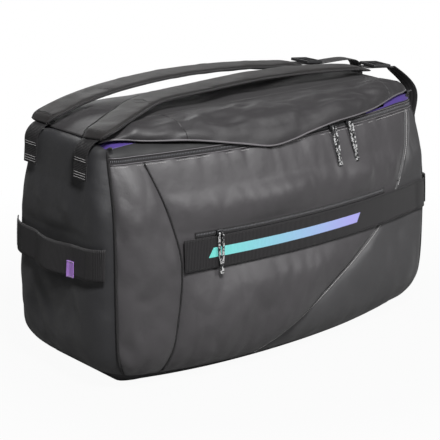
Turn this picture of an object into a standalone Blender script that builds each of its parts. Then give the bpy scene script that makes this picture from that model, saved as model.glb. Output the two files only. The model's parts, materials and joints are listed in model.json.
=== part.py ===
"""Racket duffel bag: barrel body of sewn panels, lid flap, zips, webbing and two padded straps.

Metres, +Z up, +X along the length, front at -Y, origin at the middle of the base.
"""

import math

import bmesh
import bpy
from mathutils import Matrix, Vector

# Body form
LENGTH = 0.690
DEPTH = 0.350
RIM_Z = 0.375
RIM_DRAW_IN = 0.012
BASE_DRAW_IN = 0.025
SHOULDER_DRAW_IN = 0.007
RIM_LEAN_IN = 0.035
BELLY_BELOW_RIM = 0.215
SHOULDER_BELOW_RIM = 0.085
FRONT_BULGE = 0.035
CORNER_RADIUS = 0.055
CROWN = 0.030
CROWN_FLAT = 0.042
WALL = 0.003
GAP = 0.0003
LINING = 0.001
POUCH_WALL = 0.0012
BASE_EDGE_POWER = 4

MID_HALF_LENGTH = LENGTH / 2
RIM_HALF_LENGTH = MID_HALF_LENGTH - RIM_DRAW_IN
BASE_HALF_LENGTH = MID_HALF_LENGTH - BASE_DRAW_IN
MID_HALF_DEPTH = DEPTH / 2
SHOULDER_HALF_DEPTH = MID_HALF_DEPTH - SHOULDER_DRAW_IN
RIM_HALF_DEPTH = MID_HALF_DEPTH - RIM_LEAN_IN
BASE_HALF_DEPTH = MID_HALF_DEPTH - BASE_DRAW_IN
BELLY_Z = RIM_Z - BELLY_BELOW_RIM
SHOULDER_Z = RIM_Z - SHOULDER_BELOW_RIM
CROWN_REACH = RIM_HALF_DEPTH - CROWN_FLAT

# Panels and seams
END_SEAM_X = RIM_HALF_LENGTH - 0.008
CORNER_SEAM_X = END_SEAM_X - 0.080
BASE_SEAM_Z = 0.020
LIP_Z = RIM_Z - 0.012
ZIP_HEIGHT = 0.009
FLAP_LEFT_X = -0.570 * RIM_HALF_LENGTH
FLAP_RIGHT_X = 0.735 * RIM_HALF_LENGTH
FLAP_HINGE_Y = -0.414 * RIM_HALF_DEPTH
SLANT_TOP_X = 0.870 * RIM_HALF_LENGTH
SLANT_BEND_X = 0.615 * RIM_HALF_LENGTH
SLANT_FOOT_X = -0.300 * RIM_HALF_LENGTH

# Webbing and handles
WEBBING_THICK = 0.0016
BAND_Z = 0.555 * RIM_Z
BAND_HEIGHT = 0.050
BAND_END_X = END_SEAM_X - 0.007
HANDLE_BOW = 0.016
HANDLE_SEWN_SHARE = 0.14
HANDLE_END_GAP = 0.002
HANDLE_REACH_Y = MID_HALF_DEPTH - CORNER_RADIUS - HANDLE_END_GAP
TAG_WIDTH = 0.016
TAG_THICK = 0.0012
TAG_Y = -0.050
PIPING_RADIUS = 0.0018

# Zip sliders and pulls
SLIDER_LENGTH = 0.011
SLIDER_HEIGHT = 0.0078
SLIDER_THICK = 0.0042
EYE_RADIUS = 0.0028
EYE_WIRE = 0.0011
EYE_STEPS = 16
PULL_WIRE = 0.0011
PULL_LENGTH = 0.052
PULL_HALF_WIDTH = 0.0034
PULL_TOP_STEPS = 6
PULL_TAPER_SHARE = 0.6
TIP_SIZE = (0.0075, 0.0042, 0.016)
TIP_OVER_CORD = 0.25
MAIN_SLIDER_X = (0.264 * RIM_HALF_LENGTH, 0.384 * RIM_HALF_LENGTH)
POCKET_SLIDER_X = -0.480 * RIM_HALF_LENGTH
POCKET_ZIP_HEIGHT = 0.008
POCKET_ZIP_THICK = 0.0014
POCKET_ZIP_HALF_LENGTH = 0.600 * RIM_HALF_LENGTH

# Shoulder straps
PAD_WIDTH = 0.056
PAD_THICK = 0.009
STRAP_WEB_WIDTH = 0.030
TAB_WIDTH = 0.034
TAB_Y = 0.470 * RIM_HALF_DEPTH
TAB_DROP = 0.045
TAB_END_X = -RIM_HALF_LENGTH + 0.029
ANCHOR_WIDTH = 0.034
ANCHOR_HEIGHT = 0.030
WEB_STAND_OFF = 0.014
WEB_EASE = 0.004
BUCKLE_SIZE = (0.036, 0.042, 0.005)
BUCKLE_SLOT = (0.007, 0.031)
BUCKLE_BAR = 0.005

# Strap pads: where each starts past its tab's end, and its height over the tab there
PAD_STEP = 0.001969
PAD_START_Y = 0.500 * RIM_HALF_DEPTH
FRONT_PAD_OVER_TAB = 0.000542
REAR_PAD_OVER_TAB = -0.000158

# Strap stations: share of the rim's half length, share of its half depth, lift off the top
FRONT_STRAP = (
    (-0.750, -0.357, 0.0075),
    (-0.540, -0.157, 0.0110),
    (-0.240, -0.129, 0.0150),
    (0.150, -0.071, 0.0160),
    (0.540, -0.129, 0.0120),
    (0.826, -0.214, 0.0090),
)
REAR_STRAP = (
    (-0.750, 0.471, 0.0174),
    (-0.540, 0.443, 0.0227),
    (-0.240, 0.429, 0.0264),
    (0.090, 0.429, 0.0231),
    (0.360, 0.443, 0.0162),
    (0.616, 0.457, 0.0102),
)

# Mesh fineness
FRONT_POINTS = 13
CORNER_POINTS = 5
BELLY_SHARES = (0.0, 0.025, 0.075, 0.1875, 0.375, 0.625)
RIM_DROPS = (BELLY_BELOW_RIM, 0.160, 0.120, SHOULDER_BELOW_RIM, 0.043, 0.0)
WALL_LEVELS = tuple(BELLY_Z * share for share in BELLY_SHARES) + tuple(RIM_Z - drop for drop in RIM_DROPS)
CROWN_STEPS = 5
STRAP_STEPS = 26
BAND_STEPS = 24
BAND_ROWS = 4

COLOURS = {
    "charcoal": ((0.052, 0.051, 0.055), 0.72, 0.0),
    "end_charcoal": ((0.034, 0.034, 0.037), 0.74, 0.0),
    "panel_grey": ((0.070, 0.069, 0.072), 0.62, 0.0),
    "webbing": ((0.014, 0.014, 0.015), 0.8, 0.0),
    "pad": ((0.060, 0.057, 0.054), 0.75, 0.0),
    "lining": ((0.115, 0.070, 0.310), 0.7, 0.0),
    "lilac": ((0.420, 0.240, 0.640), 0.7, 0.0),
    "metal": ((0.045, 0.045, 0.048), 0.35, 0.9),
    "cord": ((0.020, 0.020, 0.022), 0.6, 0.0),
    "plastic": ((0.018, 0.018, 0.019), 0.45, 0.0),
    "board": ((0.030, 0.030, 0.030), 0.6, 0.0),
}

ARC_HALF = RIM_HALF_LENGTH - CORNER_RADIUS
ARC_RADIUS = (ARC_HALF ** 2 + FRONT_BULGE ** 2) / (2 * FRONT_BULGE)
ARC_CENTRE_Y = ARC_RADIUS - RIM_HALF_DEPTH
BIG = 1.0


def half_depth(z):
    """Half the depth of the body at mid length, at height z."""
    if z >= SHOULDER_Z:
        lean = (SHOULDER_HALF_DEPTH - RIM_HALF_DEPTH) / (RIM_Z - SHOULDER_Z)
        return RIM_HALF_DEPTH + (RIM_Z - z) * lean
    if z >= BELLY_Z:
        share = (z - BELLY_Z) / (SHOULDER_Z - BELLY_Z)
        return MID_HALF_DEPTH - (MID_HALF_DEPTH - SHOULDER_HALF_DEPTH) * share ** 2
    share = (BELLY_Z - z) / BELLY_Z
    return MID_HALF_DEPTH - (MID_HALF_DEPTH - BASE_HALF_DEPTH) * share ** BASE_EDGE_POWER


def half_length(z):
    """Half the length of the body at height z."""
    if z >= BELLY_Z:
        share = (z - BELLY_Z) / (RIM_Z - BELLY_Z)
        return MID_HALF_LENGTH - (MID_HALF_LENGTH - RIM_HALF_LENGTH) * share ** 2
    share = (BELLY_Z - z) / BELLY_Z
    return MID_HALF_LENGTH - (MID_HALF_LENGTH - BASE_HALF_LENGTH) * share ** BASE_EDGE_POWER


def front_y(x, depth):
    """Front wall's y at x, where depth is the half depth at mid length."""
    return ARC_CENTRE_Y - math.sqrt((ARC_CENTRE_Y + depth) ** 2 - x * x)


def corner_start(length, depth, radius):
    """Where the end wall turns into the front corner, as a positive y."""
    return -front_y(length - radius, depth) - radius


def end_x(y, z):
    """Distance of the end wall from mid length, at side position y and height z."""
    length = half_length(z)
    start = corner_start(length, half_depth(z), CORNER_RADIUS)
    past = max(0.0, abs(y) - start)
    return length - CORNER_RADIUS + math.sqrt(max(0.0, CORNER_RADIUS ** 2 - past ** 2))


def wall_y(x, z):
    """Front wall's y at x and height z, round the corner too."""
    reach = half_length(z) - CORNER_RADIUS
    past = abs(x) - reach
    if past <= 0.0:
        return front_y(x, half_depth(z))
    start = corner_start(half_length(z), half_depth(z), CORNER_RADIUS)
    return -start - math.sqrt(max(0.0, CORNER_RADIUS ** 2 - past ** 2))


def crown_z(x, y):
    """Height of the crowned top at a point in plan."""
    inset = min(-front_y(x, RIM_HALF_DEPTH) - abs(y), RIM_HALF_LENGTH - abs(x))
    share = max(0.0, 1.0 - max(0.0, inset) / CROWN_REACH)
    return RIM_Z + CROWN * (1.0 - share ** 2)


def plan_outline(length, depth, radius):
    """Plan outline as points: bowed front and back, straight ends and round corners."""
    reach = length - radius
    start = corner_start(length, depth, radius)
    front = []
    for i in range(FRONT_POINTS):
        x = -reach + 2 * reach * i / (FRONT_POINTS - 1)
        front.append((x, front_y(x, depth)))
    corner = []
    for i in range(1, CORNER_POINTS + 1):
        turn = 0.5 * math.pi * i / CORNER_POINTS
        corner.append((reach + radius * math.sin(turn), -start - radius * math.cos(turn)))
    left_corner = [(-x, y) for x, y in reversed(corner)]
    half = left_corner + front + corner
    mirrored = [(-x, -y) for x, y in half]
    return half + mirrored


def body_rings(inset):
    """Rings of the body form from base to crown, drawn in on every side by inset."""
    squeeze = (RIM_Z - inset) / RIM_Z
    rings = []
    for z in WALL_LEVELS:
        outline = plan_outline(half_length(z) - inset, half_depth(z) - inset, CORNER_RADIUS - inset)
        rings.append([(x, y, inset + z * (squeeze - inset / RIM_Z)) for x, y in outline])
    rim = RIM_Z - inset
    for step in range(1, CROWN_STEPS + 1):
        share = step / CROWN_STEPS
        pull = CROWN_REACH * share
        radius = max(CORNER_RADIUS - inset - pull, PIPING_RADIUS)
        outline = plan_outline(RIM_HALF_LENGTH - inset - pull, RIM_HALF_DEPTH - inset - pull, radius)
        rings.append([(x, y, rim + CROWN * (1.0 - (1.0 - share) ** 2)) for x, y in outline])
    return rings


def clear_scene():
    for obj in list(bpy.data.objects):
        bpy.data.objects.remove(obj, do_unlink=True)


def collection(name):
    made = bpy.data.collections.new(name)
    bpy.context.scene.collection.children.link(made)
    return made


def material(name):
    colour, roughness, metallic = COLOURS[name]
    made = bpy.data.materials.get(name)
    if made is None:
        made = bpy.data.materials.new(name)
        made.use_nodes = True
        shader = made.node_tree.nodes["Principled BSDF"]
        shader.inputs["Base Color"].default_value = (*colour, 1.0)
        shader.inputs["Roughness"].default_value = roughness
        shader.inputs["Metallic"].default_value = metallic
    return made


def add_object(name, mesh, finish):
    """A part in the bag's collection; a finish of None makes a hidden cutter."""
    obj = bpy.data.objects.new(name, mesh)
    if finish is None:
        CUTTERS.objects.link(obj)
        obj.hide_render = True
        obj.display_type = "WIRE"
    else:
        PARTS.objects.link(obj)
        mesh.materials.clear()
        mesh.materials.append(material(finish))
    return obj


def mesh_from(bm, name):
    bmesh.ops.recalc_face_normals(bm, faces=bm.faces)
    mesh = bpy.data.meshes.new(name)
    bm.to_mesh(mesh)
    bm.free()
    return mesh


def loft(name, rings):
    """Closed mesh through rings of equal point count, capped at both ends."""
    bm = bmesh.new()
    made = [[bm.verts.new(p) for p in ring] for ring in rings]
    count = len(rings[0])
    for low, high in zip(made, made[1:]):
        for i in range(count):
            bm.faces.new((low[i], low[(i + 1) % count], high[(i + 1) % count], high[i]))
    bm.faces.new(made[0])
    bm.faces.new(made[-1])
    return mesh_from(bm, name)


def box_mesh(name, low, high):
    bm = bmesh.new()
    size = [h - l for l, h in zip(low, high)]
    middle = [(h + l) / 2 for l, h in zip(low, high)]
    bmesh.ops.create_cube(bm, size=1.0, matrix=Matrix.Translation(middle) @ Matrix.Diagonal((*size, 1.0)))
    return mesh_from(bm, name)


def boolean(obj, operation, other):
    modifier = obj.modifiers.new(operation.lower(), "BOOLEAN")
    modifier.operation = operation
    modifier.object = other
    modifier.solver = "EXACT"


def bevel(obj, width, segments=2):
    modifier = obj.modifiers.new("bevel", "BEVEL")
    modifier.width = width
    modifier.segments = segments


def applied(obj):
    """The object's evaluated mesh as a mesh of its own, with loose caps welded."""
    graph = bpy.context.evaluated_depsgraph_get()
    mesh = bpy.data.meshes.new_from_object(obj.evaluated_get(graph))
    bm = bmesh.new()
    bm.from_mesh(mesh)
    bmesh.ops.remove_doubles(bm, verts=bm.verts, dist=1e-6)
    bm.to_mesh(mesh)
    bm.free()
    return mesh


def shell_mesh(name, outer, inner):
    """Thin shell between the body form at two insets."""
    obj = add_object(name, loft(name, body_rings(outer)), None)
    core = add_object(name + "_core", loft(name + "_core", body_rings(inner)), None)
    boolean(obj, "DIFFERENCE", core)
    return applied(obj)


def cut_piece(name, source, finish, low, high, without=()):
    """The stretch of a shell inside a box, less any other cutters."""
    obj = add_object(name, source.copy(), finish)
    region = add_object(name + "_region", box_mesh(name + "_region", low, high), None)
    boolean(obj, "INTERSECT", region)
    for cutter in without:
        boolean(obj, "DIFFERENCE", cutter)
    return obj


def slant_cutter():
    """Wedge to the right of the slanted front seam."""
    seam = ((SLANT_TOP_X, RIM_Z), (SLANT_BEND_X, BAND_Z), (SLANT_FOOT_X, -WALL))
    outline = seam + ((BIG, -WALL), (BIG, RIM_Z))
    rings = [[(x, y, z) for x, z in outline] for y in (-BIG, -GAP)]
    return loft("slant_region", rings)


def build_panels():
    half = GAP / 2
    shell = shell_mesh("body_shell", 0.0, WALL)
    flap_low = (FLAP_LEFT_X, -BIG, LIP_Z)
    flap_high = (FLAP_RIGHT_X, FLAP_HINGE_Y, BIG)
    grown = [low - GAP for low in flap_low[:2]] + [0.0]
    flap_space = add_object("flap_space", box_mesh("flap_space", grown, [h + GAP for h in flap_high]), None)
    inside = END_SEAM_X - half
    low_z = BASE_SEAM_Z + half
    front_top = LIP_Z - ZIP_HEIGHT - GAP
    tape_top = LIP_Z - GAP
    corner = CORNER_SEAM_X
    cut_piece("left_end_panel", shell, "end_charcoal", (-BIG, -BIG, -BIG), (-END_SEAM_X - half, BIG, BIG))
    cut_piece("right_end_panel", shell, "end_charcoal", (END_SEAM_X + half, -BIG, -BIG), (BIG, BIG, BIG))
    cut_piece("base_panel", shell, "end_charcoal", (-inside, -BIG, -BIG), (inside, BIG, BASE_SEAM_Z - half))
    cut_piece("back_panel", shell, "charcoal", (-inside, half, low_z), (inside, BIG, tape_top))
    corner_high = (-corner - half, -half, front_top)
    cut_piece("front_corner_panel", shell, "charcoal", (-inside, -BIG, low_z), corner_high)
    slant = add_object("slant_region", slant_cutter(), None)
    slant_grown = add_object("slant_space", slant.data.copy(), None)
    slant_grown.location.x = -GAP
    front_low = (-corner + half, -BIG, low_z)
    front_high = (inside, -half, front_top)
    cut_piece("front_panel", shell, "charcoal", front_low, front_high, [slant_grown])
    right = cut_piece("front_right_panel", shell, "panel_grey", front_low, front_high)
    boolean(right, "INTERSECT", slant)
    tape_low = (-inside, -BIG, LIP_Z - ZIP_HEIGHT)
    cut_piece("main_zip_tape", shell, "webbing", tape_low, (inside, -half, tape_top))
    cut_piece("top_panel", shell, "charcoal", (-inside, -BIG, LIP_Z), (inside, BIG, BIG), [flap_space])
    flap = cut_piece("lid_flap", shell, "charcoal", flap_low, flap_high)
    flap.parent = empty("lid_axis", (0.0, FLAP_HINGE_Y, hinge_z()))
    flap.matrix_parent_inverse = flap.parent.matrix_basis.inverted()


def hinge_z():
    """Height of the lid's fold line: just above the crown at the fold."""
    return crown_z(0.0, FLAP_HINGE_Y) + GAP


def build_inside():
    lining_inset = WALL + GAP
    lining_inner = lining_inset + LINING
    lining_shell = shell_mesh("lining_shell", lining_inset, lining_inner)
    top = LIP_Z - ZIP_HEIGHT - 2 * WALL
    cut_piece("lining", lining_shell, "lining", (-BIG, -BIG, -BIG), (BIG, BIG, top))
    pouch_inset = lining_inner + GAP
    pouch_shell = shell_mesh("pouch_shell", pouch_inset, pouch_inset + POUCH_WALL)
    pouch_low = (-POCKET_ZIP_HALF_LENGTH, -BIG, BASE_SEAM_Z + BAND_HEIGHT)
    pouch_high = (POCKET_ZIP_HALF_LENGTH, -half_depth(BASE_SEAM_Z) / 2, pocket_zip_z())
    cut_piece("pocket_pouch", pouch_shell, "lining", pouch_low, pouch_high)
    clear = lining_inner + 2 * GAP
    board = clear + WALL
    outline = plan_outline(BASE_HALF_LENGTH - board, BASE_HALF_DEPTH - board, CORNER_RADIUS - clear)
    rings = [[(x, y, z) for x, y in outline] for z in (clear, board)]
    add_object("base_board", loft("base_board", rings), "board")


def empty(name, place, turn=0.0, parent=None):
    made = bpy.data.objects.new(name, None)
    PARTS.objects.link(made)
    made.location = place
    made.rotation_euler.z = turn
    made.parent = parent
    bpy.context.view_layer.update()
    return made


def band_stations(x_from, x_to, z):
    """Places along the front wall, closer together where it turns the right corner."""
    reach = half_length(z) - CORNER_RADIUS
    flat_end = min(x_to, reach)
    stations = [x_from + (flat_end - x_from) * i / BAND_STEPS for i in range(BAND_STEPS + 1)]
    if x_to > reach:
        last = math.asin((x_to - reach) / CORNER_RADIUS)
        turns = [last * i / CORNER_POINTS for i in range(1, CORNER_POINTS + 1)]
        stations += [reach + CORNER_RADIUS * math.sin(turn) for turn in turns]
    return stations


def band(name, finish, x_from, x_to, z_low, z_high, thick, lift):
    """Flat strip on the front wall, bowed with it, standing lift off the wall."""
    rings = []
    for x in band_stations(x_from, x_to, z_low):
        heights = [z_low + (z_high - z_low) * k / BAND_ROWS for k in range(BAND_ROWS + 1)]
        near = [(x, wall_y(x, z) - lift, z) for z in heights]
        far = [(x, y - thick, z) for x, y, z in reversed(near)]
        rings.append(near + far)
    return add_object(name, loft(name, rings), finish)


def pocket_zip_z():
    """Middle height of the pocket zip, just above the front band."""
    return BAND_Z + BAND_HEIGHT / 2 + POCKET_ZIP_HEIGHT / 2 + GAP


def build_bands():
    lift = GAP * 2
    low = BAND_Z - BAND_HEIGHT / 2
    start = -CORNER_SEAM_X + WALL
    band("front_webbing", "webbing", start, BAND_END_X, low, low + BAND_HEIGHT, WEBBING_THICK, lift)
    zip_low = pocket_zip_z() - POCKET_ZIP_HEIGHT / 2
    zip_high = zip_low + POCKET_ZIP_HEIGHT
    reach = POCKET_ZIP_HALF_LENGTH
    band("pocket_zip_tape", "webbing", -reach, reach, zip_low, zip_high, POCKET_ZIP_THICK, lift)


def handle_bow(y):
    """How far an end handle stands off at side position y; its sewn ends lie flat."""
    share = (y + HANDLE_REACH_Y) / (2 * HANDLE_REACH_Y)
    free = (share - HANDLE_SEWN_SHARE) / (1.0 - 2 * HANDLE_SEWN_SHARE)
    if free <= 0.0 or free >= 1.0:
        return 0.0
    return HANDLE_BOW * math.sin(math.pi * free) ** 2


def handle_heights():
    low = BAND_Z - BAND_HEIGHT / 2
    return [low + BAND_HEIGHT * k / BAND_ROWS for k in range(BAND_ROWS + 1)]


def handle_face(y, z):
    """Outer face of an end handle, as a distance from the middle."""
    return end_x(y, z) + handle_bow(y) + 2 * GAP + WEBBING_THICK


def build_end_handle(name, side):
    rings = []
    for i in range(BAND_STEPS + 1):
        y = -HANDLE_REACH_Y + 2 * HANDLE_REACH_Y * i / BAND_STEPS
        out = handle_bow(y) + 2 * GAP
        near = [(side * (end_x(y, z) + out), y, z) for z in handle_heights()]
        far = [(x + side * WEBBING_THICK, y, z) for x, y, z in reversed(near)]
        rings.append(near + far)
    return add_object(name, loft(name, rings), "webbing")


def build_tag():
    """Blank woven tag sewn on the left handle's face."""
    rings = []
    for share in (0.0, 0.5, 1.0):
        y = TAG_Y - TAG_WIDTH / 2 + TAG_WIDTH * share
        proud = max(handle_face(y, z) for z in handle_heights()) + GAP
        x = -max(handle_face(y, BAND_Z) + 2 * GAP, proud)
        low, high = BAND_Z - BAND_HEIGHT / 2 - TAG_THICK, BAND_Z - TAG_THICK
        rings.append([(x, y, low), (x, y, high), (x - TAG_THICK, y, high), (x - TAG_THICK, y, low)])
    add_object("handle_tag", loft("handle_tag", rings), "lilac")


def curve_tube(name, points, radius, cyclic, finish):
    """Round tube along points, made a mesh with its caps welded."""
    data = bpy.data.curves.new(name, "CURVE")
    data.dimensions = "3D"
    data.bevel_depth = radius
    data.bevel_resolution = 1
    data.use_fill_caps = True
    spline = data.splines.new("POLY")
    spline.points.add(len(points) - 1)
    for target, point in zip(spline.points, points):
        target.co = (*point, 1.0)
    spline.use_cyclic_u = cyclic
    curve = bpy.data.objects.new(name + "_path", data)
    CUTTERS.objects.link(curve)
    bpy.context.view_layer.update()
    mesh = applied(curve)
    bpy.data.objects.remove(curve, do_unlink=True)
    return add_object(name, mesh, finish)


def build_piping(name, side):
    """Corded edge round the end seam, lying just off the panels."""
    stand = PIPING_RADIUS + 2 * GAP
    points = []
    heights = [z for z in WALL_LEVELS if z > BASE_SEAM_Z / 2]
    for z in heights:
        reach = END_SEAM_X - half_length(z) + CORNER_RADIUS
        start = corner_start(half_length(z), half_depth(z), CORNER_RADIUS)
        turn = math.asin(min(1.0, reach / CORNER_RADIUS))
        y = -start - CORNER_RADIUS * math.cos(turn)
        points.append((side * (END_SEAM_X + stand * math.sin(turn)), y - stand * math.cos(turn), z))
    return curve_tube(name, points, PIPING_RADIUS, False, "webbing")


def build_slider(name, x, z, rise):
    """Zip slider with an eye for its pull, on the bowed front wall at x and height z, rise off the wall."""
    wall = half_depth(z)
    radius = ARC_CENTRE_Y + wall
    axis = empty(name + "_axis", (0.0, ARC_CENTRE_Y, 0.0), math.asin(x / radius))
    step = SLIDER_HEIGHT / 2
    lean = math.atan2(half_depth(z - step) - half_depth(z + step), SLIDER_HEIGHT)
    corner = Vector((SLIDER_LENGTH, SLIDER_THICK, SLIDER_HEIGHT)) / 2
    body = add_object(name, box_mesh(name, -corner, corner), "metal")
    bevel(body, SLIDER_THICK / 5)
    turns = [2 * math.pi * i / EYE_STEPS for i in range(EYE_STEPS)]
    circle = [(0.0, EYE_RADIUS * math.cos(t) - eye_offset(), EYE_RADIUS * math.sin(t)) for t in turns]
    ring = curve_tube(name + "_eye", circle, EYE_WIRE, True, None)
    boolean(body, "UNION", ring)
    place = Matrix.Translation((0.0, -radius, z)) @ Matrix.Rotation(-lean, 4, "X")
    lift = Matrix.Translation((0.0, -(rise + SLIDER_THICK / 2), 0.0))
    for obj in (body, ring):
        obj.parent = axis
        obj.matrix_parent_inverse = Matrix.Identity(4)
        obj.matrix_basis = place @ lift
    bpy.context.view_layer.update()
    return axis, place @ lift


def eye_offset():
    """Distance from a slider's middle to the middle of its eye."""
    return SLIDER_THICK / 2 + EYE_RADIUS - EYE_WIRE / 2


def build_pull(name, axis, place):
    """Cord loop through the slider's eye with a moulded tip."""
    points = []
    for i in range(PULL_TOP_STEPS + 1):
        turn = math.pi * i / PULL_TOP_STEPS
        points.append((PULL_HALF_WIDTH * math.cos(turn), 0.0, PULL_HALF_WIDTH * (math.sin(turn) - 1.0)))
    tip_top = -PULL_LENGTH
    taper = tip_top * PULL_TAPER_SHARE
    points += [(-PULL_HALF_WIDTH, 0.0, taper), (-PULL_HALF_WIDTH / 2, 0.0, tip_top)]
    points += [(PULL_HALF_WIDTH / 2, 0.0, tip_top), (PULL_HALF_WIDTH, 0.0, taper)]
    pull = curve_tube(name, points, PULL_WIRE, True, "cord")
    high = (TIP_SIZE[0] / 2, TIP_SIZE[1] / 2, tip_top + TIP_SIZE[2] * TIP_OVER_CORD)
    low = (-high[0], -high[1], high[2] - TIP_SIZE[2])
    tip = add_object(name + "_tip", box_mesh(name + "_tip", low, high), None)
    bevel(tip, TIP_SIZE[1] / 4)
    boolean(pull, "UNION", tip)
    hinge = Matrix.Translation((0.0, -eye_offset(), 0.0))
    for obj in (pull, tip):
        obj.parent = axis
        obj.matrix_parent_inverse = Matrix.Identity(4)
        obj.matrix_basis = place @ hinge
    bpy.context.view_layer.update()


def build_zips():
    main_z = LIP_Z - ZIP_HEIGHT / 2
    for label, x in zip(("left", "right"), MAIN_SLIDER_X):
        axis, place = build_slider(f"main_slider_{label}", x, main_z, 2 * GAP)
        build_pull(f"main_pull_{label}", axis, place)
    over_tape = POCKET_ZIP_THICK + 4 * GAP
    axis, place = build_slider("pocket_slider", POCKET_SLIDER_X, pocket_zip_z(), over_tape)
    build_pull("pocket_pull", axis, place)


def smooth_path(points, steps):
    """Points along a smooth curve through the given ones."""
    ends = [2 * Vector(points[0]) - Vector(points[1])] + [Vector(p) for p in points]
    ends.append(2 * Vector(points[-1]) - Vector(points[-2]))
    path = []
    spans = len(points) - 1
    for i in range(steps + 1):
        place = min(i / steps * spans, spans - 1e-9)
        k = int(place)
        t = place - k
        a, b, c, d = ends[k:k + 4]
        square = (2 * a - 5 * b + 4 * c - d) * t ** 2
        cube = (3 * b - a - 3 * c + d) * t ** 3
        path.append(0.5 * (2 * b + (c - a) * t + square + cube))
    return path


def strip(name, points, width, thick, steps, finish, side=None):
    """Flat strip along a smooth path, its underside on the path; side is its width direction."""
    path = smooth_path(points, steps)
    rings = []
    for i, point in enumerate(path):
        ahead = path[min(i + 1, steps)] - path[max(i - 1, 0)]
        if i == 0:
            ahead = Vector(points[1]) - Vector(points[0])
        across = Vector(side or (0.0, 1.0, 0.0))
        across = (across - ahead * across.dot(ahead) / ahead.length_squared).normalized()
        normal = ahead.cross(across).normalized()
        half = across * width / 2
        ring = (point - half, point + half, point + half + normal * thick, point - half + normal * thick)
        rings.append([tuple(p) for p in ring])
    return add_object(name, loft(name, rings), finish)


def strap_points(stations, sign, over_tab):
    """Underside of a strap as places over its tab's end and the crowned top."""
    tab_top = strap_tab_path(sign * TAB_Y)[-1][2] + WEBBING_THICK
    points = [(TAB_END_X + PAD_STEP, sign * PAD_START_Y, tab_top + over_tab)]
    for along, side, lift in stations:
        x = along * RIM_HALF_LENGTH
        y = side * RIM_HALF_DEPTH
        points.append((x, y, crown_z(x, y) + lift))
    return points


def strap_tab_path(y):
    """Webbing tab's path from the left end wall, over the rim, to the strap's end."""
    low = RIM_Z - TAB_DROP
    lift = 3 * GAP
    heights = (low, low + TAB_DROP / 2, RIM_Z - WALL)
    wall = [(-(half_length(z) + lift), y, z) for z in heights]
    places = (-RIM_HALF_LENGTH + WALL * 3, TAB_END_X - GAP)
    over = [(x, y, crown_z(x, y) + 2 * WALL) for x in places]
    return wall + over


def build_strap(label, stations, sign, over_tab):
    points = strap_points(stations, sign, over_tab)
    side = sign * TAB_Y
    strip(f"{label}_strap_pad", points, PAD_WIDTH, PAD_THICK, STRAP_STEPS, "pad")
    tab = strap_tab_path(side)
    strip(f"{label}_strap_tab", tab, TAB_WIDTH, WEBBING_THICK, STRAP_STEPS // 2, "webbing")
    end = Vector(points[-1])
    path = smooth_path(points, STRAP_STEPS)
    ahead = (path[-1] - path[-2]).normalized()
    start = end + ahead * 2 * GAP + Vector((0.0, 0.0, PAD_THICK / 2))
    straight = start + ahead * (BUCKLE_SIZE[0] + WALL)
    drop = Vector((RIM_HALF_LENGTH + WEB_STAND_OFF, side, RIM_Z - WEB_EASE))
    low = RIM_Z - TAB_DROP
    anchor_top = Vector((end_x(side, low) + 4 * GAP + WEBBING_THICK, side, low))
    turn_y = end.y + (drop.y - end.y) / 4
    over_z = max(end.z - WEB_EASE, RIM_Z + CROWN / 2)
    over = Vector((RIM_HALF_LENGTH - WEB_EASE, turn_y, over_z))
    path = [tuple(p) for p in (start, straight, over, drop, anchor_top)]
    strip(f"{label}_strap_webbing", path, STRAP_WEB_WIDTH, WEBBING_THICK, STRAP_STEPS, "webbing")
    build_anchor(f"{label}_strap_anchor", side)
    build_buckle(f"{label}_buckle", start, straight)


def build_anchor(name, y):
    """Sewn patch on the right end wall that holds a strap's webbing."""
    rings = []
    top = RIM_Z - TAB_DROP - 2 * GAP
    for k in range(BAND_ROWS + 1):
        side = y - ANCHOR_WIDTH / 2 + ANCHOR_WIDTH * k / BAND_ROWS
        low = top - ANCHOR_HEIGHT
        near = [(end_x(side, z) + 3 * GAP, side, z) for z in (low, (low + top) / 2, top)]
        far = [(x + WEBBING_THICK * 2, v, z) for x, v, z in reversed(near)]
        rings.append(near + far)
    add_object(name, loft(name, rings), "webbing")


def build_buckle(name, start, toward):
    """Ladder-lock frame with two webbing slots, lying on the strap's webbing."""
    ahead = (toward - start).normalized()
    across = Vector((0.0, 1.0, 0.0))
    across = (across - ahead * across.dot(ahead)).normalized()
    normal = ahead.cross(across)
    frame = Matrix((ahead, across, normal)).transposed().to_4x4()
    length, width, thick = BUCKLE_SIZE
    origin = start + normal * (WEBBING_THICK + 3 * GAP + thick)
    axis = empty(name + "_axis", (0.0, 0.0, 0.0))
    axis.matrix_world = Matrix.Translation(origin) @ frame
    body = add_object(name, box_mesh(name, (0.0, -width / 2, -thick), (length, width / 2, 0.0)), "plastic")
    bevel(body, thick / 4)
    slot_length, slot_width = BUCKLE_SLOT
    for k in range(2):
        low_x = BUCKLE_BAR + k * (slot_length + BUCKLE_BAR + slot_length / 2)
        low = (low_x, -slot_width / 2, -2 * thick)
        high = (low_x + slot_length, slot_width / 2, thick)
        slot = add_object(f"{name}_slot_{k}", box_mesh(f"{name}_slot_{k}", low, high), None)
        slot.parent = axis
        boolean(body, "DIFFERENCE", slot)
    body.parent = axis
    bpy.context.view_layer.update()
    print(name, "axis", [round(v, 5) for v in axis.matrix_world.translation], [round(v, 5) for v in across])


def report_axes():
    """Prints the joint axes in world coordinates."""
    print("lid fold", FLAP_HINGE_Y, hinge_z())
    print("slider arc centre y", ARC_CENTRE_Y)
    for name in ("main_pull_left", "main_pull_right", "pocket_pull"):
        world = bpy.data.objects[name].matrix_world
        axis = world.to_3x3() @ Vector((1.0, 0.0, 0.0))
        print(name, [round(v, 5) for v in world.translation], [round(v, 5) for v in axis])


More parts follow.
